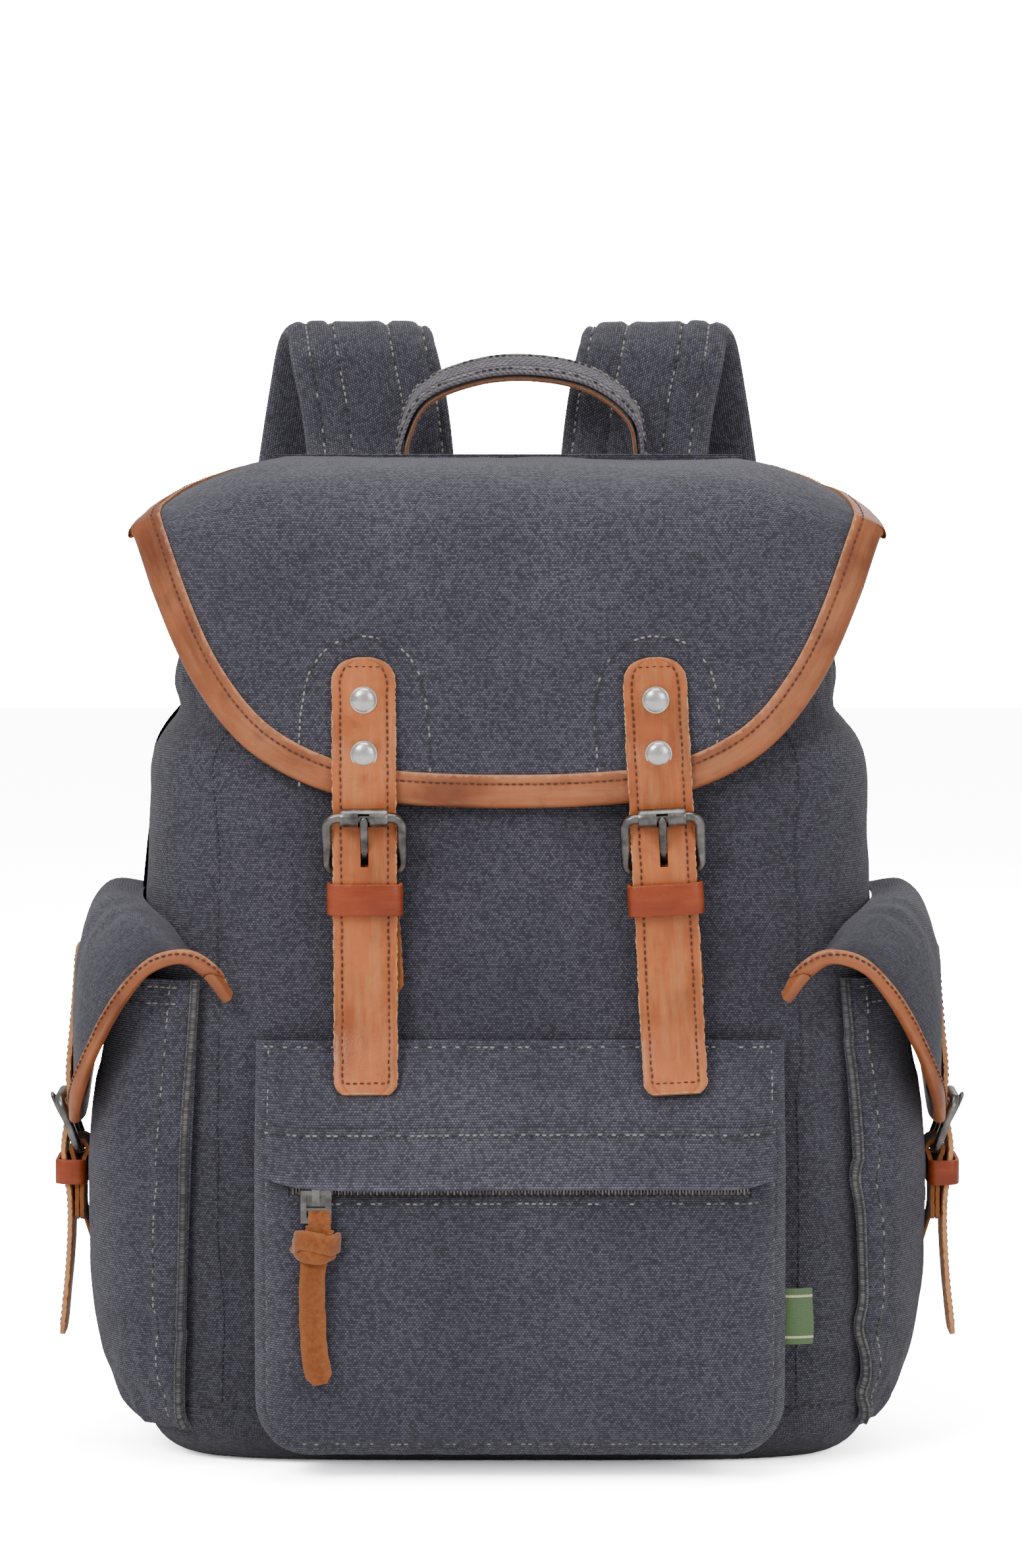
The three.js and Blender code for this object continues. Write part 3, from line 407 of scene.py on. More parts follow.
class Shader:
    """A material being wired up."""

    def __init__(self, name, **principled):
        self.material = bpy.data.materials.new(name)
        self.material.use_nodes = True
        self.tree = self.material.node_tree
        self.bsdf = self.tree.nodes["Principled BSDF"]
        for socket, value in principled.items():
            self.bsdf.inputs[socket.replace("_", " ")].default_value = value

    def node(self, kind, inputs=None, **settings):
        made = self.tree.nodes.new(kind)
        for key, value in settings.items():
            setattr(made, key, value)
        for key, value in (inputs or {}).items():
            self.join(value, made.inputs[key])
        return made

    def join(self, value, socket):
        if isinstance(value, bpy.types.NodeSocket):
            self.tree.links.new(value, socket)
        else:
            socket.default_value = value

    def math(self, operation, a, b=0.0, c=0.0):
        made = self.node("ShaderNodeMath", {0: a, 1: b, 2: c}, operation=operation)
        return made.outputs[0]

    def mix(self, share, a, b, blend="MIX"):
        made = self.node("ShaderNodeMix", data_type="RGBA", blend_type=blend)
        self.join(share, made.inputs[0])
        self.join(a, made.inputs[6])
        self.join(b, made.inputs[7])
        return made.outputs[2]

    def place(self):
        return self.node("ShaderNodeUVMap", uv_map="place").outputs[0]

    def solid_place(self):
        return self.node("ShaderNodeTexCoord").outputs["Object"]

    def rim(self):
        return self.node("ShaderNodeAttribute", attribute_name="rim").outputs["Fac"]

    def noise(self, vector, scale, detail=3.0, rough=0.5):
        made = self.node(
            "ShaderNodeTexNoise", {"Vector": vector, "Scale": scale, "Detail": detail, "Roughness": rough}
        )
        return made.outputs["Fac"]

    def ramp(self, value, low, high, bottom=0.0, top=1.0):
        made = self.node(
            "ShaderNodeMapRange",
            {"Value": value, "From Min": low, "From Max": high, "To Min": bottom, "To Max": top},
        )
        return made.outputs[0]

    def bump(self, height, distance, strength=1.0, before=None):
        made = self.node("ShaderNodeBump", {"Height": height, "Distance": distance, "Strength": strength})
        if before is not None:
            self.join(before, made.inputs["Normal"])
        return made.outputs[0]

    def done(self, color=None, rough=None, normal=None):
        for value, socket in ((color, "Base Color"), (rough, "Roughness"), (normal, "Normal")):
            if value is not None:
                self.join(value, self.bsdf.inputs[socket])
        return self.material


def shade(r, g, b):
    """A linear colour from 0 to 255 sRGB values."""
    line = lambda c: c / 12.92 if c <= 0.04045 else ((c + 0.055) / 1.055) ** 2.4
    return (line(r / 255), line(g / 255), line(b / 255), 1.0)


def canvas(name, base, pale, grain=(1.15, 0.9), seed=0.0):
    """Washed cotton canvas: staggered thread grains, each a little different, faded in broad patches, with
    painted highlight on each grain's crown and painted shade in the gaps between grains.
    """
    s = Shader(name, Roughness=0.88, Sheen_Weight=0.22, Sheen_Roughness=0.55, Specular_IOR_Level=0.22)
    split = s.node("ShaderNodeSeparateXYZ", {0: s.place()})
    row_place = s.math("DIVIDE", split.outputs[1], grain[1] * MM)
    row = s.math("FLOOR", row_place)
    shift = s.math("MULTIPLY", s.math("MODULO", row, 2.0), 0.5)
    cell_place = s.math("ADD", s.math("DIVIDE", split.outputs[0], grain[0] * MM), shift)
    cell = s.math("FLOOR", cell_place)
    across = s.math("SUBTRACT", s.math("FRACT", cell_place), 0.5)
    up = s.math("SUBTRACT", s.math("FRACT", row_place), 0.5)
    spread = s.math("ADD", s.math("POWER", s.math("MULTIPLY", across, 1.75), 2.0),
                    s.math("POWER", s.math("MULTIPLY", up, 1.9), 2.0))
    high = s.math("SUBTRACT", 1.0, spread)
    grain_height = s.math("POWER", s.math("MAXIMUM", high, 0.0), 0.6)
    spot = s.node("ShaderNodeCombineXYZ", {0: cell, 1: row, 2: seed}).outputs[0]
    chance = s.node("ShaderNodeTexWhiteNoise", {"Vector": spot}, noise_dimensions="3D").outputs["Value"]
    solid = s.solid_place()
    broad = s.noise(solid, 14.0, 4.0, 0.6)
    fade = s.ramp(broad, 0.35, 0.75, 0.0, 1.0)
    slub = s.noise(s.node("ShaderNodeVectorMath", {0: s.place(), 1: (120.0, 1400.0, 1.0)},
                          operation="MULTIPLY").outputs[0], 1.0, 2.0)
    color = s.mix(fade, base, pale)
    # painted light: colour brighter on each thread grain's crown and darker in the gaps between grains
    lit = s.math("MULTIPLY_ADD", grain_height, 1.15, 0.30)
    lit = s.math("MULTIPLY", lit, s.ramp(chance, 0.0, 1.0, 0.56, 1.5))
    lit = s.math("MULTIPLY", lit, s.ramp(slub, 0.3, 0.7, 0.93, 1.07))
    lit = s.math("MULTIPLY", lit, s.math("MULTIPLY_ADD", s.rim(), 0.5, 1.0))
    color = s.mix(1.0, color, s.node("ShaderNodeCombineXYZ", {0: lit, 1: lit, 2: lit}).outputs[0], "MULTIPLY")
    normal = s.bump(grain_height, 0.0005, 0.8)
    fuzz = s.noise(solid, 900.0, 3.0)
    return s.done(color, None, s.bump(fuzz, 0.0002, 0.35, normal))


def leather(name, base, dark, pale, rough=0.46, grain=1.0):
    """Oiled pull-up leather: fine grain, cloudy colour, paler and fuzzy where it is cut."""
    s = Shader(name, Specular_IOR_Level=0.45, Coat_Weight=0.08, Coat_Roughness=0.35)
    solid = s.solid_place()
    cloud = s.noise(solid, 26.0, 3.0, 0.55)
    streak = s.noise(s.node("ShaderNodeVectorMath", {0: s.place(), 1: (26.0, 190.0, 1.0)},
                            operation="MULTIPLY").outputs[0], 1.0, 5.0, 0.62)
    blotch = s.noise(solid, 95.0, 4.0, 0.65)
    color = s.mix(s.ramp(cloud, 0.3, 0.6), dark, base)
    color = s.mix(s.ramp(blotch, 0.52, 0.72, 0.0, 0.55), color, dark)
    color = s.mix(s.ramp(streak, 0.46, 0.8, 0.0, 0.42), color, pale)
    cells = s.node("ShaderNodeTexVoronoi", {"Vector": solid, "Scale": 1500.0 * grain}, feature="F1")
    pores = cells.outputs[0]
    color = s.mix(s.ramp(pores, 0.0, 0.3, 0.22, 0.0), color, dark)
    fine = s.noise(solid, 1500.0, 3.0)
    rim = s.rim()
    color = s.mix(s.ramp(rim, -1.0, 0.0, 0.75, 0.0), color, dark)
    ragged = s.math("ADD", rim, s.ramp(s.noise(solid, 420.0, 3.0), 0.3, 0.7, -0.3, 0.3))
    edge = s.ramp(ragged, 0.55, 0.95)
    color = s.mix(s.math("MULTIPLY", edge, 0.75), color, pale)
    wrinkle = s.noise(solid, 200.0, 4.0, 0.6)
    normal = s.bump(pores, 0.00016, 0.4)
    normal = s.bump(wrinkle, 0.0005, 0.22, normal)
    normal = s.bump(fine, 0.0003, s.math("MULTIPLY", edge, 0.9), normal)
    cloudy = s.ramp(cloud, 0.3, 0.7, rough - 0.07, rough + 0.08)
    roughness = s.math("ADD", cloudy, s.math("MULTIPLY", edge, 0.35))
    return s.done(color, roughness, normal)


def suede(name, base, pale):
    """The raw flesh side of leather: nap and stray fibres."""
    s = Shader(name, Roughness=0.95, Sheen_Weight=0.5, Sheen_Roughness=0.5, Specular_IOR_Level=0.15)
    solid = s.solid_place()
    nap = s.noise(solid, 520.0, 5.0, 0.7)
    patch = s.noise(solid, 90.0, 3.0)
    color = s.mix(s.ramp(nap, 0.35, 0.72), base, pale)
    color = s.mix(s.ramp(patch, 0.35, 0.7, 0.0, 0.5), color, base)
    color = s.mix(s.math("MULTIPLY", s.rim(), 0.45), color, pale)
    return s.done(color, None, s.bump(nap, 0.0009, 0.8))


def webbing(name, base, pale, cell=(2.3, 1.7)):
    """Basket-woven cotton tape, with painted highlight on each woven cell's crown and painted shade in the
    gaps between cells.
    """
    s = Shader(name, Roughness=0.85, Sheen_Weight=0.25, Specular_IOR_Level=0.25)
    split = s.node("ShaderNodeSeparateXYZ", {0: s.place()})
    along = s.math("DIVIDE", split.outputs[0], cell[0] * MM)
    across = s.math("DIVIDE", split.outputs[1], cell[1] * MM)
    odd = s.math("MODULO", s.math("FLOOR", across), 2.0)
    along = s.math("ADD", along, s.math("MULTIPLY", odd, 0.5))
    fa = s.math("SUBTRACT", s.math("FRACT", along), 0.5)
    fb = s.math("SUBTRACT", s.math("FRACT", across), 0.5)
    slant = s.math("ADD", fa, s.math("MULTIPLY", fb, 0.35))
    spread = s.math("ADD", s.math("POWER", s.math("MULTIPLY", slant, 1.8), 2.0),
                    s.math("POWER", s.math("MULTIPLY", fb, 2.0), 2.0))
    height = s.math("POWER", s.math("MAXIMUM", s.math("SUBTRACT", 1.0, spread), 0.0), 0.5)
    spot = s.node("ShaderNodeCombineXYZ", {0: s.math("FLOOR", along), 1: s.math("FLOOR", across)}).outputs[0]
    chance = s.node("ShaderNodeTexWhiteNoise", {"Vector": spot}, noise_dimensions="3D").outputs["Value"]
    color = s.mix(s.ramp(chance, 0.0, 1.0, 0.0, 0.8), base, pale)
    # painted light: colour brighter on each woven cell's crown and darker in the gaps between cells
    lit = s.math("MULTIPLY_ADD", height, 0.85, 0.3)
    color = s.mix(1.0, color, s.node("ShaderNodeCombineXYZ", {0: lit, 1: lit, 2: lit}).outputs[0], "MULTIPLY")
    fuzz = s.noise(s.solid_place(), 900.0, 3.0)
    return s.done(color, None, s.bump(fuzz, 0.0003, 0.4, s.bump(height, 0.0006, 0.9)))


def metal(name, base, dark, rough):
    """Plated metal, darker and duller in patches, with fine scratches."""
    s = Shader(name, Metallic=1.0, Specular_IOR_Level=0.5)
    solid = s.solid_place()
    cloud = s.noise(solid, 160.0, 4.0, 0.6)
    pits = s.noise(solid, 1300.0, 3.0)
    color = s.mix(s.ramp(cloud, 0.35, 0.7), dark, base)
    worn = s.math("ADD", cloud, s.math("MULTIPLY", pits, 0.5))
    roughness = s.ramp(worn, 0.4, 1.1, rough - 0.08, rough + 0.14)
    return s.done(color, roughness, s.bump(pits, 0.0001, 0.5, s.bump(cloud, 0.0004, 0.2)))


def thread(name, dark, pale, share=0.5):
    """Sewing thread, its shade chosen stitch by stitch."""
    s = Shader(name, Roughness=0.7, Sheen_Weight=0.2)
    twist = s.noise(s.solid_place(), 2600.0, 2.0)
    color = s.mix(s.ramp(s.rim(), 1 - share - 0.15, 1 - share + 0.15), dark, pale)
    color = s.mix(s.ramp(twist, 0.3, 0.7, 0.0, 0.35), color, dark)
    return s.done(color, None, s.bump(twist, 0.0003, 0.6))


def label_cloth(name, green, cream):
    """A woven green tab with two cream lines, near its top and its bottom, with painted light and shade along
    its ribs and weave.
    """
    s = Shader(name, Roughness=0.8, Sheen_Weight=0.3)
    split = s.node("ShaderNodeSeparateXYZ", {0: s.place()})
    rise = split.outputs[1]
    lines = 0.0
    for low in (2.4, 18.6):
        inside = s.math("MULTIPLY", s.math("GREATER_THAN", rise, low * MM),
                        s.math("LESS_THAN", rise, (low + 0.9) * MM))
        lines = s.math("ADD", inside, lines)
    ribs = s.math("SINE", s.math("MULTIPLY", rise, 2 * math.pi / (0.45 * MM)))
    weave = s.math("SINE", s.math("MULTIPLY", split.outputs[0], 2 * math.pi / (0.6 * MM)))
    height = s.math("ADD", ribs, weave)
    color = s.mix(lines, green, cream)
    # painted light: colour brighter on raised ribs and darker in the hollows between them
    lit = s.math("MULTIPLY_ADD", height, 0.09, 0.95)
    color = s.mix(1.0, color, s.node("ShaderNodeCombineXYZ", {0: lit, 1: lit, 2: lit}).outputs[0], "MULTIPLY")
    return s.done(color, None, s.bump(height, 0.0001, 0.6))


BODY_CLOTH = canvas("canvas_body", shade(62, 60, 71), shade(78, 76, 87), seed=1.0)
FLAP_CLOTH = canvas("canvas_flap", shade(66, 64, 76), shade(82, 80, 92), seed=2.0)
POCKET_CLOTH = canvas("canvas_pocket", shade(64, 62, 75), shade(80, 78, 90), seed=3.0)
PAD_CLOTH = canvas("canvas_pads", shade(62, 60, 71), shade(77, 75, 86), seed=4.0)
BOUND_CLOTH = canvas("canvas_bound_edge", shade(70, 69, 75), shade(106, 104, 100), (0.7, 2.4), seed=5.0)
LINING_CLOTH = canvas("lining_cotton", shade(112, 108, 100), shade(130, 126, 116), (0.5, 0.5), seed=6.0)
TAN = leather("leather_tan", shade(200, 108, 54), shade(142, 68, 28), shade(228, 168, 112), rough=0.38)
BINDING_TAN = leather(
    "leather_binding", shade(172, 98, 56), shade(118, 60, 30), shade(210, 146, 102), rough=0.44
)
KEEPER_TAN = leather(
    "leather_keeper", shade(160, 66, 26), shade(132, 48, 16), shade(192, 104, 54), rough=0.36
)
RAW = suede("leather_flesh", shade(134, 72, 32), shade(172, 104, 56))
DARK_RAW = suede("leather_flesh_dark", shade(96, 55, 30), shade(148, 92, 52))
TAPE = webbing("webbing_cotton", shade(98, 92, 101), shade(128, 120, 129))
GUNMETAL = metal("metal_gunmetal", (0.30, 0.285, 0.27, 1), (0.11, 0.105, 0.10, 1), 0.28)
NICKEL = metal("metal_nickel", (0.92, 0.91, 0.88, 1), (0.74, 0.72, 0.69, 1), 0.24)
DARK_THREAD = thread("thread_canvas", shade(40, 40, 44), shade(162, 158, 146), 0.52)
SEAM_THREAD = thread("thread_seams", shade(36, 36, 40), shade(84, 82, 84), 0.2)
BROWN_THREAD = thread("thread_leather", shade(72, 30, 12), shade(112, 56, 26), 0.3)
TEETH = metal("metal_zip_teeth", (0.30, 0.28, 0.25, 1), (0.12, 0.11, 0.10, 1), 0.34)
GREEN = label_cloth("label_green", shade(96, 122, 80), shade(222, 219, 180))

# ---- the body ----

half_width_at = curve_through([
    [0, 147], [120, 148], [250, 145], [295, 139], [330, 130], [MOUTH_HEIGHT, 121], [400, 121],
])
front_at = curve_through([[0, -61], [140, -63], [260, -62], [320, -57], [MOUTH_HEIGHT, -50]])
back_at = curve_through([[0, 60], [200, 62], [392, 60]])


def fillet_inset(z):
    low = np.clip(z, 0, BASE_FILLET)
    return BASE_FILLET - np.sqrt(np.maximum(BASE_FILLET**2 - (BASE_FILLET - low) ** 2, 0))


def wall_point(degrees, z, depth=0.0, reach=1.0):
    """A point of the body's wall in an angle's direction, depth inside its outer surface."""
    angle = np.radians(degrees)
    inward = fillet_inset(z) + depth
    a = half_width_at(z) - inward
    b = (back_at(z) - front_at(z)) / 2 - inward
    c, s = np.cos(angle), np.sin(angle)
    total = np.abs(c / a) ** SQUARENESS + np.abs(s / b) ** SQUARENESS
    radius = reach * total ** (-1 / SQUARENESS)
    shape = np.broadcast(radius, z)
    parts = radius * c, (back_at(z) + front_at(z)) / 2 + radius * s, z
    return np.stack([np.broadcast_to(p, shape.shape) for p in parts], -1)


def body_front(x, z):
    """The body's front surface at x and z."""
    inward = fillet_inset(z)
    a = half_width_at(z) - inward
    b = (back_at(z) - front_at(z)) / 2 - inward
    middle = (back_at(z) + front_at(z)) / 2
    return middle - b * np.maximum(0, 1 - np.abs(x / a) ** SQUARENESS) ** (1 / SQUARENESS)


def body_swell(degrees, z):
    """How far the worn cloth stands out of the CAD wall, mostly inwards of it."""
    around = degrees * 1.9
    wave = rumple(around, z, 11)
    swell = 1.2 * wave - 0.7
    above = ease(z, 222, 285)
    side = np.exp(-((np.minimum(np.abs(degrees % 360 - 360), np.abs(degrees % 360)) / 34) ** 2))
    side = side + np.exp(-(((degrees % 360 - 180) / 34) ** 2))
    swell = swell + above * 1.6 * rumple(around, z, 15, 38)
    pinch = np.exp(-(((z - 303 + 6 * noise(around / 40, z / 90, 3)) / 9) ** 2))
    roll = np.exp(-(((z - 280) / 12) ** 2))
    swell = swell + side * (-6.5 * pinch + 2.5 * roll)
    gathers = np.sin(degrees * 0.72 + 2.2 * noise(degrees / 21, z / 120, 8)) ** 2
    swell = swell - ease(z, 290, 365) * 3.2 * gathers
    for start, end, width, deep in (
        ((-247, 250), (-205, 232), 7, 1.8), ((-62, 247), (-100, 225), 8, 1.6),
        ((-75, 292), (-118, 262), 9, 2.2),
        ((-226, 290), (-180, 268), 10, 2.0), ((-150, 246), (-210, 268), 9, 1.0),
    ):
        swell = swell - deep * crease(around, z, start, end, width)
    seam = np.minimum(np.abs(np.abs(degrees) - SEAM_ANGLE), np.abs(np.abs(degrees) - 180 + SEAM_ANGLE))
    swell = swell - 0.9 * np.exp(-((seam / 0.55) ** 2)) * (1 - ease(z, 270, 285))
    return np.minimum(swell, np.where(z < 225, 0.6, 3.0))


def yoke_top(x):
    return MOUTH_HEIGHT + YOKE_RISE * np.maximum(0, 1 - (x / 112) ** 2)


def body_skin(extra=0.0):
    """The shell's outer surface as a grid: columns round the body, rows from its middle underneath up."""
    degrees = np.linspace(-180, 180, 361)
    rings = []
    for reach in np.linspace(0.001, 1, 14)[:-1]:
        rings.append(wall_point(degrees, np.zeros(361), extra, reach))
    for turn in np.linspace(0, math.pi / 2, 12):
        z = np.full(361, BASE_FILLET * (1 - math.cos(turn)))
        swell = body_swell(degrees, z) * math.sin(turn) ** 2
        ring = wall_point(degrees, z, extra - swell)
        rings.append(ring)
    top_x = wall_point(degrees, np.full(361, float(MOUTH_HEIGHT)))[:, 0]
    top = np.where(np.sin(np.radians(degrees)) > 0, yoke_top(top_x), MOUTH_HEIGHT)
    for share in np.linspace(0, 1, 118)[1:]:
        z = BASE_FILLET + share * (top - BASE_FILLET)
        rings.append(wall_point(degrees, z, extra - body_swell(degrees, z)))
    return np.stack(rings, 1)


def on_wall(degrees, z, lift=0.0):
    """Points on the shell's visible surface and their outward directions."""
    degrees, z = np.broadcast_arrays(np.asarray(degrees, float), np.asarray(z, float))
    p = wall_point(degrees, z, -body_swell(degrees, z) - lift)
    step = wall_point(degrees + 0.5, z, -body_swell(degrees + 0.5, z) - lift) - p
    rise = wall_point(degrees, z + 1.0, -body_swell(degrees, z + 1.0) - lift) - p
    return p, unit(np.cross(step, rise))


def build_body():
    skin = body_skin()
    places = spread_of(skin)
    rim = ease(np.broadcast_to(np.arange(skin.shape[1]), skin.shape[:2]), 139, 142)
    shell = Builder()
    middle = skin - normals_of(skin) * 1.0
    shell.slab(middle[:, 1:], 2.0, places[:, 1:], rim[:, 1:] * 0.4, around=True)
    shell.make("body_shell", BODY_CLOTH, "bag",
               ("front_panel", "back_panel", "side_panel_left", "side_panel_right", "base_panel"), "canvas")

    inner = Builder()
    degrees = np.linspace(-180, 180, 181)
    rows = [wall_point(degrees, np.full(181, 5.1), 5.0, r) for r in np.linspace(0.01, 1, 12)]
    for z in np.linspace(6, 348, 70):
        height = np.full(181, z)
        ripple = 0.7 * rumple(degrees * 1.9, height, 31, 30)
        pressed = np.maximum(0, -body_swell(degrees, height))
        rows.append(wall_point(degrees, height, 4.8 + ripple + pressed))
    inner.slab(np.stack(rows, 1), 0.8, around=True)
    inner.make("lining_bag", LINING_CLOTH, "bag", ("lining",), "lining_cloth")

    hem = Builder()
    rows = []
    for z in np.linspace(MOUTH_HEIGHT - HEM_HEIGHT, MOUTH_HEIGHT, 12):
        rows.append(wall_point(degrees, np.full(181, z), LINING_DEPTH + 1.1 + 0.3 * np.sin(degrees * 0.9)))
    hem.slab(np.stack(rows, 1), 1.8, around=True)
    hem.make("mouth_hem_band", BODY_CLOTH, "bag", ("mouth_hem",), "canvas")

    sewn = Builder()
    seed = 40
    for middle in (-SEAM_ANGLE, -180 + SEAM_ANGLE, SEAM_ANGLE, 180 - SEAM_ANGLE):
        toward_side = 1.5 * np.sign(abs(middle) - 90)
        z = np.linspace(26, 366, 170)
        points, out = on_wall(np.full(170, middle + toward_side * np.sign(middle)), z)
        stitch_line(sewn, points, out, seed=seed)
        seed += 1
    points, out = on_wall(np.linspace(-180, 180, 500), np.full(500, BASE_SEAM))
    stitch_line(sewn, points, out, pitch=3.2, seed=seed)
    for z in (352, 355.5):
        degrees = np.linspace(-176, -4, 300)
        points, out = on_wall(degrees, np.full(300, z))
        stitch_line(sewn, points, out, seed=seed + int(z))
    sewn.make("body_stitches", SEAM_THREAD, "bag", slot="canvas")


# ---- the main flap ----

flap_path = Path([
    [58.6, 394.8], [20, 396.6], [-20, 397], [-42, 395], [-55, 389], [-62.5, 377],
    [-65.2, 350], [-66.6, 310], [-68, 262], [-68.5, 250],
], per=80)


def flap_swell(x, s):
    """Soft unevenness of the flap's cloth."""
    lift = 1.2 * rumple(x, s, 51, 60) + 0.3 * rumple(x, s, 57, 17)
    across = x * np.sign(x)
    lift = lift - 1.3 * crease(across, s, (70, 92), (128, 118), 10)
    lift = lift - 0.9 * crease(x, s, (-30, 118), (62, 106), 12)
    lift = lift + 0.9 * crease(x, s, (-95, 128), (-70, 190), 14)
    lift = lift + 0.7 * crease(x, s, (96, 130), (66, 196), 14)
    return lift - 0.6 * crease(x, s, (10, 150), (22, 226), 16)


def flap_point(x, s, lift=0.0):
    """A point of the flap: x across, s down from the hinge, lift out of its middle layer."""
    u = np.clip(s / flap_path.length, 0, 1)
    tangent = flap_path.tangent(u)
    wing = np.maximum(0, np.abs(x) - WING_START) / (WING_TIP - WING_START)
    rise = lift - WING_DROP * wing**1.6
    p = flap_path.at(u)
    y = p[..., 0] + tangent[..., 1] * rise
    z = p[..., 1] - tangent[..., 0] * rise
    return np.stack([np.broadcast_to(x, y.shape), y, z], -1)


def flap_distance(z):
    """How far down from the hinge the flap's front reaches a height."""
    u = np.linspace(0.35, 1, 2000)
    return float(np.interp(-z, -flap_path.at(u)[:, 1], u) * flap_path.length)


flap_side = [
    [-116, 2], [-134, 42], [-146.5, 96], [-146, flap_distance(378)], [-136, flap_distance(345)],
    [-121, flap_distance(313)], [-100, flap_distance(288)], [-69, flap_distance(272)],
    [-35, flap_distance(267)],
]
flap_edge = Path(flap_side + [[-x, s] for x, s in reversed(flap_side)], per=60)


def patch(edge, corner, across, down):
    """Flat coordinates that fill an outline, as a grid."""
    u = np.linspace(0, 1, across)[:, None]
    v = np.linspace(0, 1, down)[None, :]
    mix = lambda a, b, t: a * (1 - t[..., None]) + b * t[..., None]
    first, last = edge.at(np.array(0.0)), edge.at(np.array(1.0))
    top = mix(first, last, u)
    bottom = edge.at(corner + (1 - 2 * corner) * u)
    left, right = edge.at(corner * v), edge.at(1 - corner * v)
    corners = mix(top, mix(edge.at(np.array(corner)), edge.at(np.array(1 - corner)), u), v)
    return mix(top, bottom, v) + mix(left, right, u) - corners


def bound_strip(edge, place, thick, width, steps, start=0.004, end=0.996):
    """A strip folded over an outline's free edge, as a closed sweep; returns it with its rim values."""
    e = np.linspace(start, end, steps)
    ahead = edge.at(np.minimum(e + 0.004, 1)) - edge.at(np.maximum(e - 0.004, 0))
    ahead = unit(ahead)
    inward = np.stack([ahead[:, 1], -ahead[:, 0]], -1)
    face = thick / 2 + 0.15
    skin = face + BINDING_THICK
    fold = np.linspace(math.pi / 2, 3 * math.pi / 2, 9)
    groove = width - 3.6
    ring = [[width, skin - 0.35], [width - 0.5, skin], [groove + 0.9, skin + 0.2], [groove, skin + 0.02]]
    ring += [[groove - 0.9, skin + 0.22], [width * 0.25, skin + 0.2]]
    ring += [[skin * 0.9 * math.cos(a) * 0.9, skin * math.sin(a)] for a in fold]
    ring += [[width * 0.4, -skin - 0.1], [width - 0.5, -skin], [width, -skin + 0.35]]
    ring += [[width, -face], [width, face]]
    ring = np.array(ring)
    flat = edge.at(e)[:, None] + inward[:, None] * ring[None, :, :1]
    ragged = 1 + 0.02 * noise(e[:, None] * 160, np.arange(len(ring))[None] * 0.1, 5)
    lift = np.broadcast_to(ring[None, :, 1], flat.shape[:2]) * ragged
    grid = place(flat[..., 0], flat[..., 1], lift)
    worn = np.array([1, 0.8, 0, -0.9, 0, 0] + [0.1] * 9 + [0, 0.8, 1, 1, 1])
    rim = np.broadcast_to(worn[None], grid.shape[:2])
    return grid, rim


def close_ring(builder, grid, rim):
    """Adds a grid whose columns close on themselves, with both ends capped."""
    grid = np.concatenate([grid, grid[:, :1]], 1)
    rim = np.concatenate([rim, rim[:, :1]], 1)
    builder.grid(grid, None, rim)
    for k, flip in ((0, False), (-1, True)):
        middle = np.broadcast_to(grid[k, :-1].mean(0), grid[k].shape)
        builder.grid(np.stack([grid[k], middle], 0), None, np.ones((2, grid.shape[1])), flip=flip)


# in metres: two places on the flap's hinge line; make reads them but sets up no bending with them
FLAP_HINGE = ("bag", "flap", (0, 0.0575, 0.3965), (0, 0.040, 0.3965))


def build_flap():
    flat = patch(flap_edge, 0.34, 150, 150)
    x, s = flat[..., 0], flat[..., 1]
    grid = flap_point(x, s, flap_swell(x, s))
    cloth = Builder().slab(grid, FLAP_THICK, flat)
    piece = cloth.make("flap_cloth", FLAP_CLOTH, FLAP_HINGE, ("flap_panel",), "canvas")

    raised = lambda a, b, lift: flap_point(a, b, lift + flap_swell(a, b))
    grid, rim = bound_strip(flap_edge, raised, FLAP_THICK, BINDING_WIDTH, 420)
    bound = Builder()
    close_ring(bound, grid, rim)
    edge = bound.make("flap_bound_edge", BINDING_TAN, FLAP_HINGE, ("flap_binding",), "leather")

    e = np.linspace(0.01, 0.99, 900)
    ahead = unit(flap_edge.at(np.minimum(e + 0.004, 1)) - flap_edge.at(np.maximum(e - 0.004, 0)))
    inward = np.stack([ahead[:, 1], -ahead[:, 0]], -1)
    sewn = Builder()
    line = flap_edge.at(e) + inward * (BINDING_WIDTH - 3.6)
    high = FLAP_THICK / 2 + 0.15 + BINDING_THICK + 0.25
    points = raised(line[:, 0], line[:, 1], high)
    out = unit(raised(line[:, 0], line[:, 1], high + 1) - points)
    stitch_line(sewn, points, out, radius=0.34, seed=61, sink=0.3)
    sewn.make("flap_edge_stitches", BROWN_THREAD, FLAP_HINGE, slot="leather")

    arches = Builder()
    for middle, lean in ((-56.5, 0.5), (57.5, -2.0)):
        arch = [[-24 - lean, 268], [-24.5 - lean, 280], [-23.5, 300], [-20, 314], [-12, 323.5], [0, 327]]
        arch = arch + [[-a + 1.5, z] for a, z in reversed(arch[:-1])]
        curve = Path([[middle + a, flap_distance(z + 4)] for a, z in arch])
        line = curve.at(np.linspace(0, 1, 300))
        points = flap_point(line[:, 0], line[:, 1], FLAP_THICK / 2 + flap_swell(line[:, 0], line[:, 1]))
        out = np.broadcast_to(np.array([0.0, -1.0, 0.03]), points.shape)
        stitch_line(arches, points, out, seed=int(70 + middle))
    arches.make("flap_arch_stitches", DARK_THREAD, "flap", slot="canvas")


# ---- straps with their buckles ----

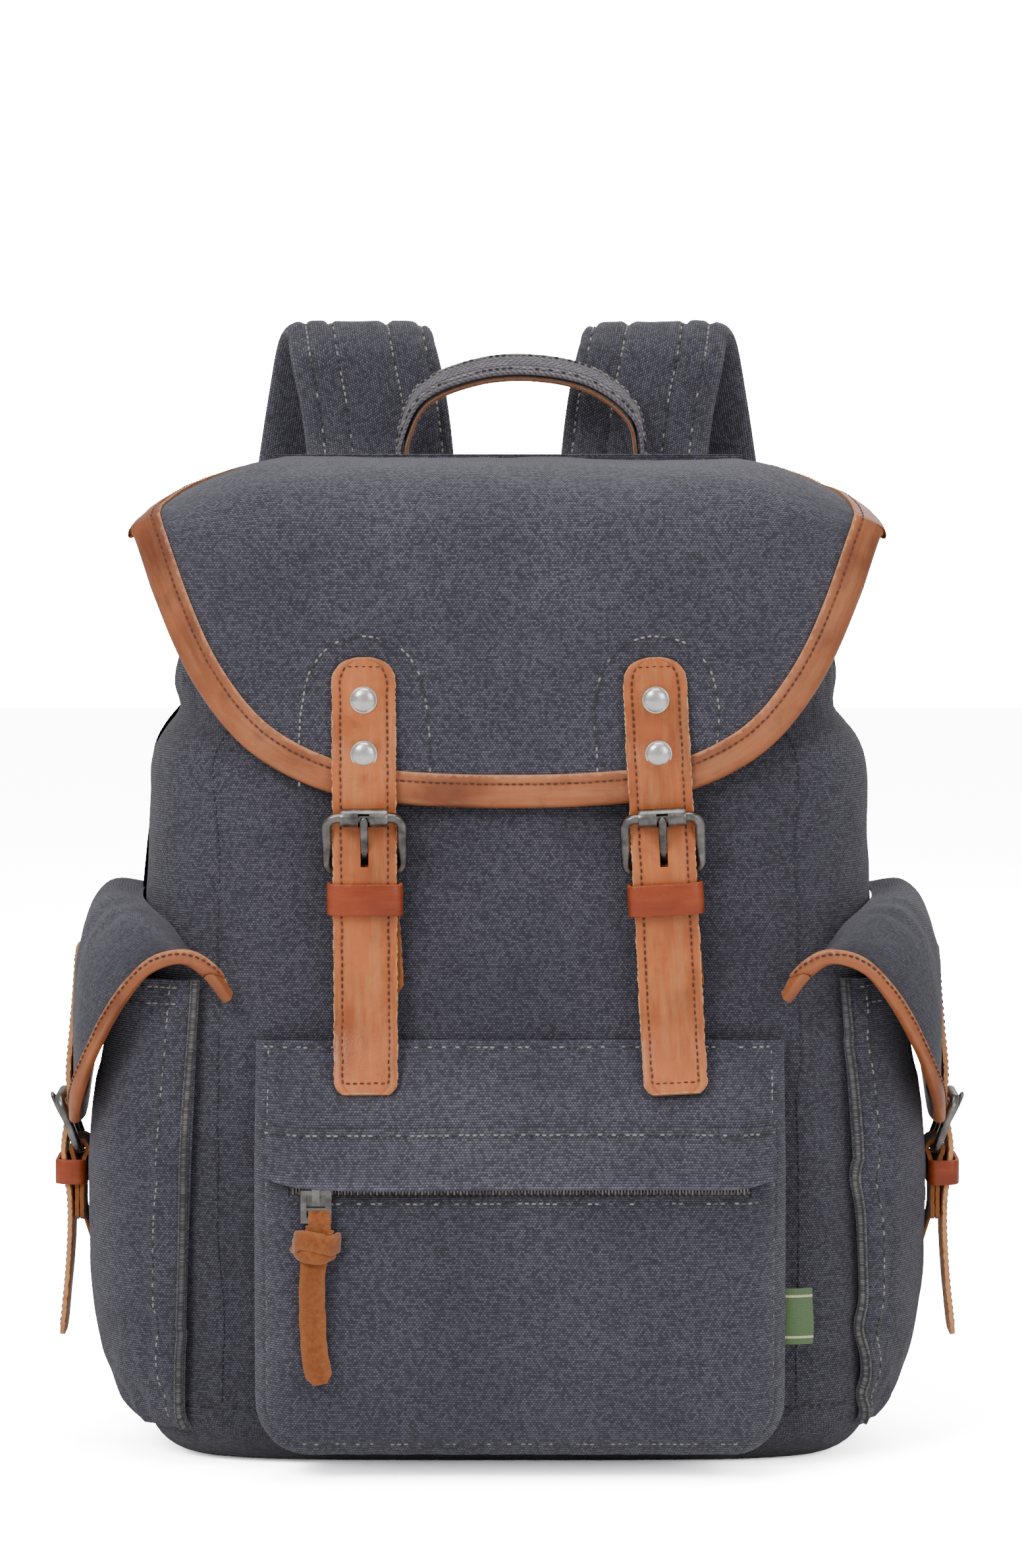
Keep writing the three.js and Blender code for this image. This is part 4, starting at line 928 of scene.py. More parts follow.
FRONT = {
    "line": [
        [69.6, 323], [70, 306], [71, 292], [73, 281], [73.4, 268], [72.6, 258], [73.6, 248], [74.4, 239],
        [73.2, 229], [72, 218], [72, 196], [73.2, 178], [78, 164], [82, 153],
    ],
    "upper": (78.2, 261), "lower": (68.3, 239.2), "tip": (81.9, 260.6), "slot": (241.4, 253.5),
    "tab_end": 191, "round_top": True,
    "keeper": (66.2, 75.9, 222.4, 234.8),
}
SIDE = {
    "line": [
        [172, 203], [173, 188], [174.6, 170], [176.1, 153], [175.8, 143], [176.9, 132], [178.2, 122],
        [177.3, 112], [176, 102], [175.8, 90], [177, 70], [179.6, 46],
    ],
    "upper": (179.5, 142.4), "lower": (172, 121.8), "tip": (183.3, 142.4), "slot": (124.2, 136.5),
    "tab_end": 93, "round_top": False,
    "keeper": (170.5, 180, 107.4, 117.4),
}


def front_place(x, lean):
    """Carries a front strap's points to its place on the flap."""
    angle = math.radians(lean)
    top = FRONT["line"][0][1]
    c, s = math.cos(angle), math.sin(angle)

    def place(p):
        z = p[..., 2] - top
        return np.stack([p[..., 0] * c + z * s + x, p[..., 1], -p[..., 0] * s + z * c + top], -1)

    return place


def side_place(mirror):
    """Carries a side strap's points to its place on a side pocket."""
    return lambda p: np.stack([-p[..., 1] * mirror, p[..., 0] * mirror - 3, p[..., 2]], -1)


def strap_path(plan):
    return Path([[0, -out, z] for out, z in plan["line"]], per=40)


def build_strap(plan, name, place, body, nodes, seed):
    """A tan strap with rounded ends, bevelled edges, buckle holes and a stitch line round its edge."""
    path = strap_path(plan)
    count = 170
    u = np.concatenate([np.linspace(0, 0.06, 21)[:-1], np.linspace(0.06, 1, count - 20)])
    top_room = np.clip(u * path.length / 11, 0, 1)
    low_room = np.clip((1 - u) * path.length / 5, 0, 1)
    round_top = np.maximum((1 - (1 - top_room) ** 2.4) ** (1 / 2.4), 0.2)
    upper_end = round_top if plan["round_top"] else 1.0
    width = STRAP_WIDTH * np.minimum(upper_end, 1 - 0.26 * (1 - low_room) ** 2.2)
    width = width * (1 + 0.012 * noise(u * 60, u * 0, seed))
    centres = path.at(u)
    side, inward = frame_along(centres, np.array([1.0, 0, 0]))
    out = -inward
    half = width[:, None] / 2
    spots = np.linspace(-1, 1, 33)
    ragged = 1 + 0.02 * noise(u[:, None] * 220, spots[None] * 3, seed + 1) * (np.abs(spots[None]) > 0.97)
    x = half * spots[None] * ragged
    inset = half - np.abs(x)
    crown = STRAP_THICK / 2 * (1 - 0.35 * np.exp(-inset / 0.5))
    groove = 0.22 * np.exp(-(((inset - 3.4) / 0.5) ** 2))
    along = u[:, None] * path.length
    puffed = 0.22 * np.sin(np.clip(inset / half, 0, 1) * math.pi / 2)
    bend = 0.25 * noise(along / 14, x / 30, seed + 2)
    top = centres[:, None] + side[:, None] * x[..., None]
    top = top + out[:, None] * (crown - groove + puffed - 0.3 + bend)[..., None]
    low = centres[:, None] + side[:, None] * x[..., None] - out[:, None] * (crown - bend)[..., None]
    places = np.stack([np.broadcast_to(along, x.shape), x + 20], -1)
    end_gap = np.minimum(along, path.length - along)
    rim = np.maximum(np.exp(-inset / 0.55), np.exp(-end_gap / 0.6))
    rim = rim - 0.9 * np.exp(-(((inset - 3.4) / 0.55) ** 2))
    mid_z = (centres[1:, 2] + centres[:-1, 2]) / 2
    in_slot = (mid_z > plan["slot"][0]) & (mid_z < plan["slot"][1])
    keep = ~(in_slot[:, None] & (np.abs(spots[:-1] + spots[1:])[None] / 2 < 0.14))
    piece = Builder()
    piece.grid(top, places, rim, keep=keep)
    piece.grid(low, places, rim * 0 + 0.8, flip=True, keep=keep)
    for k, flip in ((0, False), (-1, True)):
        grid = np.stack([top[:, k], low[:, k]], 1)
        edge_places = np.stack([places[:, k], places[:, k] + [0, 2.0]], 1)
        piece.grid(grid, edge_places, np.ones(grid.shape[:2]), flip=flip)
        grid = np.stack([top[k], low[k]], 1)
        piece.grid(grid, np.stack([places[k], places[k] + [2.0, 0]], 1), np.ones(grid.shape[:2]), flip=flip)
    piece.move(place)
    piece.make(name, TAN, body, nodes, "leather", sharp=60)

    border = []
    reach = half[:, 0] - 3.4
    inner = (along[:, 0] > 3.6) & (along[:, 0] < path.length - 3.6) & (reach > 1)
    rows = np.where(inner)[0]
    lift = STRAP_THICK / 2 - 0.15
    for sign, order in ((1, rows), (-1, rows[::-1])):
        border.append(centres[order] + side[order] * (sign * reach[order])[:, None] + out[order] * lift)
    border = np.concatenate(border + [border[0][:1]])
    directions = np.concatenate([out[rows], out[rows[::-1]], out[rows[:1]]])
    sewn = Builder()
    stitch_line(sewn, border, directions, radius=0.36, seed=seed + 5, sink=0.3)
    sewn.move(place)
    sewn.make(name + "_stitches", BROWN_THREAD, body, slot="leather")


def ring_path(half, tall, corner, per=8):
    """A rounded rectangle from the middle of its lower bar, as [x, up] pairs."""
    spots = []
    for cx, cy, start in ((1, 0, -90), (1, 1, 0), (-1, 1, 90), (-1, 0, 180)):
        for k in range(per + 1):
            a = math.radians(start + 90 * k / per)
            x = cx * (half - corner) + corner * math.cos(a)
            y = (tall - corner if cy else corner) + corner * math.sin(a)
            spots.append([x, y])
    return np.array(spots)


def build_buckle(plan, kind, side_name, place, body, prong_body, sleeve):
    """The wire frame, its prong and its sleeve."""
    upper, lower = plan["upper"], plan["lower"]
    rise = np.array([0, -(upper[0] - lower[0]), upper[1] - lower[1]], float)
    tall = float(np.linalg.norm(rise))
    rise = rise / tall
    face = np.array([0, -rise[2], rise[1]])
    base = np.array([0, -lower[0], lower[1]], float)
    half = STRAP_WIDTH / 2 + GAP + WIRE
    outline = ring_path(half, tall, 4.2)
    centres = base + outline[:, :1] * np.array([1.0, 0, 0]) + outline[:, 1:] * rise
    ahead = unit(np.roll(centres, -1, 0) - np.roll(centres, 1, 0))
    out = np.broadcast_to(face, centres.shape)
    side = unit(np.cross(ahead, out))
    piece = Builder()
    piece.sweep(centres, side, out, rounded(2 * WIRE, 2 * WIRE * 0.92, 1.5, 4), closed=True)
    piece.move(place)
    node = f"{kind}_buckle_{side_name}"
    piece.make(f"{kind}_buckle_frame_{side_name}", GUNMETAL, body, (node,), "gunmetal")

    tip = plan["tip"]
    tip_point = np.array([0, -tip[0], tip[1]], float)
    up = unit(tip_point - base)
    reach = float(np.linalg.norm(tip_point - base))
    outward = np.array([0, -up[2], up[1]])
    bow = 0.8
    steps = np.linspace(WIRE + 1.2, reach + 1.0, 26)
    share = (steps - steps[0]) / (steps[-1] - steps[0])
    centres = base + steps[:, None] * up + (bow * np.sin(share * math.pi))[:, None] * outward
    size = np.sqrt(np.clip(1 - np.maximum(0, (share - 0.9) / 0.1) ** 2, 0.05, 1))
    section = rounded(3.3, 2.0, 0.8, 3)[None] * np.stack([size, size], -1)[:, None]
    piece = Builder()
    ahead_side = np.broadcast_to(np.array([1.0, 0, 0]), centres.shape)
    piece.sweep(centres, ahead_side, np.broadcast_to(outward, centres.shape), section)
    turn = np.linspace(0, 2 * math.pi, 25)[:-1]
    ring = base + (WIRE + GAP + 0.8) * (np.cos(turn)[:, None] * up + np.sin(turn)[:, None] * outward)
    radial = unit(ring - base)
    ring_side = np.broadcast_to(np.array([1.0, 0, 0]), ring.shape)
    piece.sweep(ring, ring_side, radial, rounded(3.4, 1.5, 0.5), closed=True)
    piece.move(place)
    node = f"{kind}_buckle_prong_{side_name}"
    piece.make(f"{kind}_prong_{side_name}", GUNMETAL, prong_body, (node,), "gunmetal")
    if not sleeve:
        return
    turn = np.radians(np.linspace(0, 360, 49))
    along = np.linspace(-9.2, 9.2, 38)
    radius = SLEEVE_RADIUS - 0.25 * np.exp(-(9.2 - np.abs(along)) / 0.5)
    centre = np.array([0, -upper[0], upper[1]])
    grid = np.zeros((49, 38, 3))
    grid[..., 0] = along[None]
    grid[..., 1] = centre[1] - radius[None] * np.cos(turn)[:, None]
    grid[..., 2] = centre[2] + radius[None] * np.sin(turn)[:, None]
    notch = (np.abs(along[:-1] + along[1:])[None] / 2 < 2.2) & (np.cos(turn[:-1])[:, None] > -0.2)
    notch = notch & (np.sin(turn[:-1])[:, None] < 0.45)
    piece = Builder()
    inner = grid.copy()
    inner[..., 1] = centre[1] + (grid[..., 1] - centre[1]) * 0.72
    inner[..., 2] = centre[2] + (grid[..., 2] - centre[2]) * 0.72
    piece.grid(grid, keep=~notch)
    piece.grid(inner, flip=True, keep=~notch)
    for k in (0, -1):
        piece.grid(np.stack([grid[:, k], inner[:, k]], 1))
    piece.move(place)
    node = f"{kind}_buckle_sleeve_{side_name}"
    piece.make(f"{kind}_sleeve_{side_name}", GUNMETAL, body, (node,), "gunmetal")


def build_keeper(plan, place, name, body, nodes, seed):
    """A burnished leather loop round the strap."""
    inside, outside, low, high = plan["keeper"]
    half = STRAP_WIDTH / 2 + 1.3
    deep = (outside - inside) / 2 + 0.9
    turn = np.linspace(0, 2 * math.pi, 65)[:-1]
    c, s = np.cos(turn), np.sin(turn)
    x = (half + 0.2) * np.sign(c) * np.abs(c) ** 0.28
    y = deep * np.sign(s) * np.abs(s) ** 0.45
    centres = np.stack([x, -(inside + outside) / 2 - y, np.full(64, (low + high) / 2)], 1)
    centres[:, 2] += 0.35 * noise(turn * 1.3, turn * 0, seed)
    ahead = unit(np.roll(centres, -1, 0) - np.roll(centres, 1, 0))
    side = np.broadcast_to(np.array([0, 0, 1.0]), centres.shape)
    out = unit(np.cross(side, ahead))
    section = rounded(high - low, 1.7, 0.6, 3)
    section[:, 1] += 0.25 * (1 - (section[:, 0] / (high - low) * 2) ** 2)
    rim = np.broadcast_to(np.exp(-((high - low) / 2 - np.abs(section[:, 0])) / 0.5)[None], (64, len(section)))
    piece = Builder().sweep(centres, side, out, section, closed=True, rim=rim)
    piece.move(place)
    piece.make(name, KEEPER_TAN, body, nodes, "leather")


def build_tab(plan, place, name, body, nodes, slip, seed):
    """Raw leather folded round the lower bar and running down behind the strap."""
    out_at, z_at = plan["lower"]
    radius = WIRE + GAP + 0.9
    end = plan["tab_end"]
    turn = np.radians(np.linspace(-20, 200, 14))
    bend = [[out_at + radius * math.cos(a), z_at + radius * math.sin(a)] for a in turn]
    line = [[out_at + 1.0, end], [out_at + 1.0, end + 16], [out_at + 1.0, z_at - 8]] + bend
    line += [[out_at - 1.0, z_at - 8], [out_at - 1.0, end + 16], [out_at - 1.0, end]]
    path = Path([[0, -o, z] for o, z in line])
    u = np.linspace(0, 1, 110)
    centres = path.at(u)
    drop = np.clip((z_at - centres[:, 2]) / (z_at - end), 0, 1)
    centres[:, 0] = slip * drop
    side, out = frame_along(centres, np.array([1.0, 0, 0]))
    width = (TAB_WIDTH / 2 - 2.2 * ease(drop, 0.93, 1.0) - 1.2 * ease(-np.abs(centres[:, 2] - z_at), -6, 0))
    width = width * (1 + 0.03 * noise(u * 70, u * 0, seed))
    spots = np.linspace(-1, 1, 15)
    grid = centres[:, None] + side[:, None] * (width[:, None] * spots[None])[..., None]
    grid = grid + out[:, None] * (0.15 * noise(u[:, None] * 40, spots[None] * 3, seed + 1))[..., None]
    rim = np.exp(-(1 - np.abs(np.broadcast_to(spots[None], grid.shape[:2]))) * 10)
    piece = Builder().slab(grid, 1.6, None, rim)
    piece.move(place)
    piece.make(name, RAW, body, nodes, "suede")


def lathe(builder, outline, centre, place=None, sides=36):
    """A turned shape about an axis that points out (-Y) from centre; outline is [radius, out] pairs."""
    turn = np.linspace(0, 2 * math.pi, sides + 1)
    r = np.array([p[0] for p in outline], float)
    o = np.array([p[1] for p in outline], float)
    x = r[None] * np.cos(turn)[:, None]
    z = r[None] * np.sin(turn)[:, None]
    y = np.broadcast_to(-o[None], x.shape)
    grid = np.stack([x, y, z], -1) + np.array(centre, float)
    builder.grid(grid if place is None else place(grid))
    return builder


def strap_face(z):
    path = strap_path(FRONT)
    u = np.linspace(0, 1, 800)
    return float(np.interp(-z, -path.at(u)[:, 2], -path.at(u)[:, 1])) + STRAP_THICK / 2


DOME = [
    [0, 1.75], [1.2, 1.7], [2.4, 1.52], [3.5, 1.18], [4.2, 0.8], [4.6, 0.4], [4.75, 0.1], [4.9, 0.32],
    [RIVET_RADIUS, 0.25], [RIVET_RADIUS, -0.3], [2.0, -0.3], [2.0, -2.6], [4.4, -2.6], [4.4, -3.4], [0, -3.4],
]


def build_front_straps():
    for name, x, lean, slip in (("left", -56, -0.3, 3.2), ("right", 57, -3.0, 1.2)):
        place = front_place(x, lean)
        seed = 100 if name == "left" else 130
        build_strap(FRONT, f"front_strap_leather_{name}", place, "flap", (f"front_strap_{name}",), seed)
        build_buckle(FRONT, "front", name, place, "flap", PRONGS["front", name], sleeve=True)
        build_keeper(FRONT, place, f"front_keeper_loop_{name}", "flap", (f"front_keeper_{name}",), seed + 9)
        build_tab(FRONT, place, f"front_tab_{name}", "flap", (f"front_buckle_tab_{name}",), slip, seed + 11)
        for z, rank in ((306.5, "upper"), (285.5, "lower")):
            piece = lathe(Builder(), DOME, [0, -strap_face(z) - 0.25, z], place)
            rivet = f"front_rivet_{rank}_{name}"
            piece.make(f"front_rivet_cap_{rank}_{name}", NICKEL, "flap", (rivet,), "nickel")
        node = f"front_snap_{name}"
        low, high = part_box(node)
        centre = (np.array(low) + np.array(high)) / 2 / MM
        outline = [[0, 3.0], [3.4, 2.8], [4.4, 2.2], [4.6, 1.5], [6.6, 1.2], [7.4, 0.6], [7.5, 0.1], [0, 0.1]]
        piece = lathe(Builder(), outline, [centre[0], high[1] / MM, centre[2]])
        piece.make(f"{node}_cap", NICKEL, "bag", (node,), "nickel")


def body_name(*words):
    """The body whose name holds all the words."""
    for name in frame["bodies"]:
        if all(word in name for word in words):
            return name
    return None


PRONGS = {
    (kind, side): body_name(kind, "prong", side) for kind in ("front", "side") for side in ("left", "right")
}
SIDE_FLAPS = {side: body_name("side_flap", side) for side in ("left", "right")}

# ---- front pocket ----

POCKET_MIDDLE = (POCKET_LEFT + POCKET_RIGHT) / 2
POCKET_HALF = (POCKET_RIGHT - POCKET_LEFT) / 2
pocket_depth_at = curve_through([
    [POCKET_BOTTOM, 24], [30, 31], [60, 34.5], [105, 34], [128, 31], [142, 23], [158, 12], [POCKET_TOP, 3],
])


def pocket_plain(x, z):
    side = np.maximum(0, np.abs(x - POCKET_MIDDLE) - 84) / (POCKET_HALF - 84)
    return -63.4 - pocket_depth_at(z) * (1 - 0.4 * side * side)


def pocket_bottom(x):
    past = np.maximum(0, np.abs(x - POCKET_MIDDLE) - (POCKET_HALF - POCKET_CORNER))
    return POCKET_BOTTOM + POCKET_CORNER - np.sqrt(np.maximum(0, POCKET_CORNER**2 - past**2))


def edge_room(x, z):
    """How far a place on the pocket's face is from its side or bottom outline."""
    side = POCKET_HALF - np.abs(x - POCKET_MIDDLE)
    low = z - POCKET_BOTTOM
    corner = POCKET_CORNER - np.hypot(np.maximum(0, POCKET_CORNER - side), np.maximum(0, POCKET_CORNER - low))
    return np.where((side < POCKET_CORNER) & (low < POCKET_CORNER), corner, np.minimum(side, low))


def pocket_skin(x, z):
    """The pocket's worn outer face: soft folds, a rolled edge and puckers along its seams."""
    y = pocket_plain(x, z)
    room = edge_room(x, z)
    inner = ease(room, 2, 30)
    y = y - 1.5 * rumple(x, z, 71, 48) * inner - 0.2 * rumple(x, z, 77, 16) * inner
    along = np.where(z - POCKET_BOTTOM < POCKET_HALF - np.abs(x - POCKET_MIDDLE), x, z)
    pucker = np.sin(along / 2.9 + 2.0 * noise(along / 13, z * 0, 73)) * np.exp(-((room - 3) / 4) ** 2)
    y = y + 0.55 * pucker
    y = y + 3.6 * np.exp(-np.maximum(room, 0) / 2.4)
    y = y + 0.7 * np.exp(-(((room - 4.4) / 0.8) ** 2))
    for start, end, width, deep in (
        ((POCKET_LEFT + 8, 104), (-60, 66), 9, 1.4), ((POCKET_RIGHT - 8, 96), (70, 54), 10, 1.4),
        ((-70, 30), (-20, 42), 9, 0.8), ((92, 26), (40, 40), 9, 0.9), ((-92, 128), (-84, 168), 5, 1.5),
        ((104, 132), (92, 168), 6, 1.5), ((-40, 158), (50, 150), 8, 1.0),
    ):
        y = y + deep * crease(x, z, start, end, width)
    top = ease(z, 163, POCKET_TOP)
    y = y + top * 0.5 * np.sin(x / 5.5 + noise(x / 20, x * 0, 79) * 2)
    return np.minimum(y, body_front(x, z) - 0.6)


def build_pocket():
    u = np.linspace(0, 1, 230) - 0.5
    spread = u + 0.11 * np.sin(2 * math.pi * u)
    x = POCKET_MIDDLE + 2 * POCKET_HALF * spread
    low = pocket_bottom(x)
    slit_low, slit_high = ZIP_HEIGHT - 2.2, ZIP_HEIGHT + 3.3
    v = np.concatenate([
        np.linspace(0, 1, 84)[:-1] * 0.6, [0.6], 0.6 + np.linspace(0, 1, 7)[1:] * 0.06,
        0.66 + np.linspace(0, 1, 46)[1:] * 0.34,
    ])
    base = slit_low + (v - 0.6) / 0.06 * (slit_high - slit_low)
    z = np.where(v < 0.6, low[:, None] + v / 0.6 * (slit_low - low[:, None]),
                 np.where(v <= 0.66, base, slit_high + (v - 0.66) / 0.34 * (POCKET_TOP - slit_high)))
    xx = np.broadcast_to(x[:, None], z.shape)
    grid = np.stack([xx, pocket_skin(xx, z), z], -1)
    middle = (v[:-1] + v[1:]) / 2
    in_slit = (middle > 0.6) & (middle < 0.66)
    in_zip = (x[:-1] > ZIP_LEFT) & (x[1:] < ZIP_RIGHT)
    keep = ~(in_zip[:, None] & in_slit[None])
    rim = 0.55 * np.exp(-np.maximum(edge_room(xx, z), 0) / 0.8)
    face = Builder()
    grid_in = grid + np.array([0, 0.9, 0])
    face.slab(grid_in, 1.8, np.stack([xx, z], -1), rim, keep=keep)
    face.make("pocket_face", POCKET_CLOTH, "bag", ("front_pocket_face",), "canvas")

    corner_turn = np.linspace(0, math.pi / 2, 14)
    r = POCKET_CORNER
    outline = [[POCKET_LEFT, z] for z in np.linspace(POCKET_TOP - 3, POCKET_BOTTOM + r, 44)]
    outline += [[POCKET_LEFT + r - r * math.cos(a), POCKET_BOTTOM + r - r * math.sin(a)] for a in corner_turn]
    outline += [[x_at, POCKET_BOTTOM] for x_at in np.linspace(POCKET_LEFT + r, POCKET_RIGHT - r, 60)]
    outline += [
        [POCKET_RIGHT - r + r * math.sin(a), POCKET_BOTTOM + r - r * math.cos(a)] for a in corner_turn
    ]
    outline += [[POCKET_RIGHT, z] for z in np.linspace(POCKET_BOTTOM + r, POCKET_TOP - 3, 44)]
    outline = np.array(outline)
    ahead = unit(np.gradient(outline, axis=0))
    inward = np.stack([-ahead[:, 1], ahead[:, 0]], -1)
    run = np.concatenate([[0], np.cumsum(np.linalg.norm(np.diff(outline, axis=0), axis=1))])
    share = np.linspace(0, 1, 15)
    rows = []
    for t in share:
        pull = 1.2 + 1.6 * math.sin(t * math.pi) + 0.7 * np.sin(run / 7 + 3 * t) * math.sin(t * math.pi)
        spot = outline + inward * pull[:, None]
        back = body_front(spot[:, 0], spot[:, 1]) - 0.8
        front = np.minimum(pocket_plain(outline[:, 0], outline[:, 1]) + 3.2, back - 0.3)
        rows.append(np.stack([spot[:, 0], front + t * (back - front), spot[:, 1]], 1))
    gusset = Builder().slab(np.stack(rows, 1), 1.2)
    gusset.make("pocket_gusset", POCKET_CLOTH, "bag", ("front_pocket_gusset",), "canvas")

    sewn = Builder()
    room = outline + inward * 4.4
    points = np.stack([room[:, 0], pocket_skin(room[:, 0], room[:, 1]), room[:, 1]], 1)
    out = np.broadcast_to(np.array([0.0, -1.0, 0.0]), points.shape)
    stitch_line(sewn, points, out, seed=81)
    for x_low, x_high, z, seed in (
        (POCKET_LEFT + 2, POCKET_RIGHT - 2, POCKET_TOP - 2.2, 82),
        (POCKET_LEFT + 3, POCKET_RIGHT - 3, STORM_TOP, 83),
        (ZIP_LEFT - 3, ZIP_RIGHT + 3, ZIP_HEIGHT - 4.4, 84),
    ):
        x_line = np.linspace(x_low, x_high, 300)
        z_line = np.full(300, float(z))
        lift = 3.2 if z == STORM_TOP else 0.0
        points = np.stack([x_line, pocket_skin(x_line, z_line) - lift, z_line], 1)
        stitch_line(sewn, points, np.broadcast_to(np.array([0.0, -1.0, 0.0]), points.shape), seed=seed)
    base_line = np.stack([np.linspace(POCKET_LEFT + 22, POCKET_RIGHT - 22, 240)] * 3, 1)
    base_line[:, 2] = 6.5
    base_line[:, 1] = body_front(base_line[:, 0], base_line[:, 2]) - 0.3
    stitch_line(sewn, base_line, np.broadcast_to(np.array([0.0, -0.7, -0.7]), base_line.shape), seed=85)
    sewn.make("pocket_stitches", DARK_THREAD, "bag", slot="canvas")


# in metres: the storm flap's sewn edge, and the height below which it is free; make reads them but turns
# nothing with them
STORM_FIXED = (0, -0.090, 0.1405)
STORM_FREE = (0, -0.090, 0.1345)


def build_storm_flap():
    u = np.linspace(0, 1, 200)[:, None]
    v = np.linspace(0, 1, 26)[None, :]
    side = np.abs(2 * u - 1)
    x = POCKET_MIDDLE + (POCKET_HALF - 3.4) * (2 * u - 1) + 0 * v
    low = 118.4 + 4 * side**8 - 0.8 * noise(x / 60, x * 0, 91)
    z = STORM_TOP + 2 + v * (low - STORM_TOP - 2)
    skin = pocket_skin(x, z)
    slope = pocket_skin(x, z * 0 + STORM_TOP) - 1.3 - (STORM_TOP - z) * 0.66
    y = np.minimum(np.where(z < STORM_TOP, slope, 1e3), skin - 1.1)
    y = y - 0.5 * np.exp(-(((1 - v) * 18) / 2.2) ** 2) - 0.4 * rumple(x, z, 93, 26) * v
    grid = np.stack([x, y - 0.3, z], -1)
    rim = 0.7 * np.exp(-(1 - v) * 12) + 0 * u
    piece = Builder().slab(grid, 1.6, np.stack([x, z], -1), rim)
    turn = ("bag", "storm_flap", STORM_FIXED, STORM_FREE)
    cloth = piece.make("storm_flap_cloth", POCKET_CLOTH, turn, ("pocket_storm_flap",), "canvas")


def build_zip():
    tape = Builder()
    x = np.linspace(ZIP_LEFT, ZIP_RIGHT, 120)[:, None]
    z = np.linspace(ZIP_HEIGHT - 3, ZIP_HEIGHT + 3, 9)[None]
    y = pocket_plain(x + 0 * z, z + 0 * x) + 1.4
    tape.slab(np.stack([x + 0 * z, y, z + 0 * x], -1), 0.9)
    tape.make("zip_tape", TAPE, "bag", ("zip_chain",), "webbing")
    teeth = Builder()
    for k, at in enumerate(np.arange(ZIP_LEFT + 2, ZIP_RIGHT - 1, 1.25)):
        middle = ZIP_HEIGHT + 0.6 + (0.5 if k % 2 else -0.5)
        y_at = float(pocket_plain(np.array(at), np.array(middle))) + 0.6
        line = np.array([[at, y_at, middle - 1.3], [at, y_at, middle + 1.3]])
        side = np.broadcast_to(np.array([1.0, 0, 0]), line.shape)
        out = np.broadcast_to(np.array([0, -1.0, 0]), line.shape)
        teeth.sweep(line, side, out, rounded(0.95, 1.0, 0.25, 1))
    teeth.make("zip_teeth", TEETH, "bag", slot="gunmetal")


SLIDER_X = -74
PULLER_Y = -100.70


def build_thong():
    """A suede thong through the puller: a folded head, an overhand knot and a long tail."""
    piece = Builder()

    def band(points, width, thick, across, seed, taper=0.0):
        path = Path(points)
        u = np.linspace(0, 1, 60)
        centres = path.at(u)
        side, out = frame_along(centres, unit(np.array(across, float)))
        wide = width / 2 * (1 + 0.05 * noise(u * 14, u * 0, seed)) * (1 - taper * ease(u, 0.93, 1))
        section = rounded(2, thick, thick * 0.3, 2)[None] * np.stack([wide, np.ones(60)], 1)[:, None]
        edge = np.broadcast_to((np.abs(section[0, :, 0]) > wide[0] * 0.8)[None] * 0.8, section.shape[:2])
        piece.sweep(centres, side, out, section, rim=edge)

    x, y = SLIDER_X, PULLER_Y
    across = [1, 0, 0.05]
    band([[x + 1.4, y + 0.6, 101], [x + 1.2, y + 1.9, 106], [x + 1.1, y + 0.2, 110.4],
          [x + 1.3, y - 1.9, 107], [x + 1.4, y - 2.0, 101]], 8.6, 1.7, across, 201)
    band([[x + 1.6, y - 1.4, 104], [x + 0.6, y - 2.2, 99], [x - 0.6, y - 1.6, 95]], 11, 2.0, across, 202)
    band([[x - 8.2, y - 0.6, 96.5], [x - 6.8, y - 3.9, 99.4], [x - 1, y - 5.2, 99.0],
          [x + 5.6, y - 4.4, 97.4], [x + 8.6, y - 0.8, 98.2], [x + 5.4, y + 1.6, 96]],
         7.6, 2.2, [0.1, 0.1, 1], 203)
    band([[x - 8.4, y - 0.4, 97.5], [x - 5.0, y - 4.2, 94.4], [x + 1.4, y - 4.8, 93.4],
          [x + 6.6, y - 2.6, 95.4]], 6.4, 2.1, [0.15, 0.1, 1], 204)
    band([[x - 0.4, y - 2.2, 95], [x - 1.5, y - 2.0, 84], [x - 1.4, y - 1.1, 66], [x - 0.6, y - 1.2, 54],
          [x + 1.6, y - 1.6, 42.6]], 10.2, 2.0, across, 205, taper=0.45)
    piece.make("zip_thong_leather", RAW, body_name("zip_pull"), ("zip_thong",), "suede")


def build_label():
    u = np.linspace(0, 1, 14)[:, None]
    v = np.linspace(0, 1, 26)[None]
    z = 54 + v * 22 + 0 * u
    x = POCKET_RIGHT + 0.7 + u * 11 + 0.3 * np.sin(v * 5)
    y = pocket_plain(np.array(POCKET_RIGHT) + 0 * z, z) + 5.6 + u * 2 - 0.9 * np.sin(u * math.pi) + 0.4 * v
    grid = np.stack([x, y, z], -1)
    piece = Builder().slab(grid, 0.9, np.stack([u * 11 + 0 * v, v * 22 + 0 * u], -1))
    piece.make("side_tab", GREEN, "bag", ("side_label",), "label")


# ---- side pockets ----

side_bulge_at = curve_through([
    [SIDE_BOTTOM, 0.2], [24, 6], [45, 12.5], [80, 16], [110, 16.5], [135, 15], [160, 12], [200, 8],
])


def seam_at(z, mirror):
    """The angle of a side pocket's front seam, which leans outwards as it goes down."""
    low, top = SIDE_SEAMS[mirror]
    return low + (top - low) * np.clip((z - SIDE_BOTTOM) / (SIDE_TOP - SIDE_BOTTOM), 0, 1)


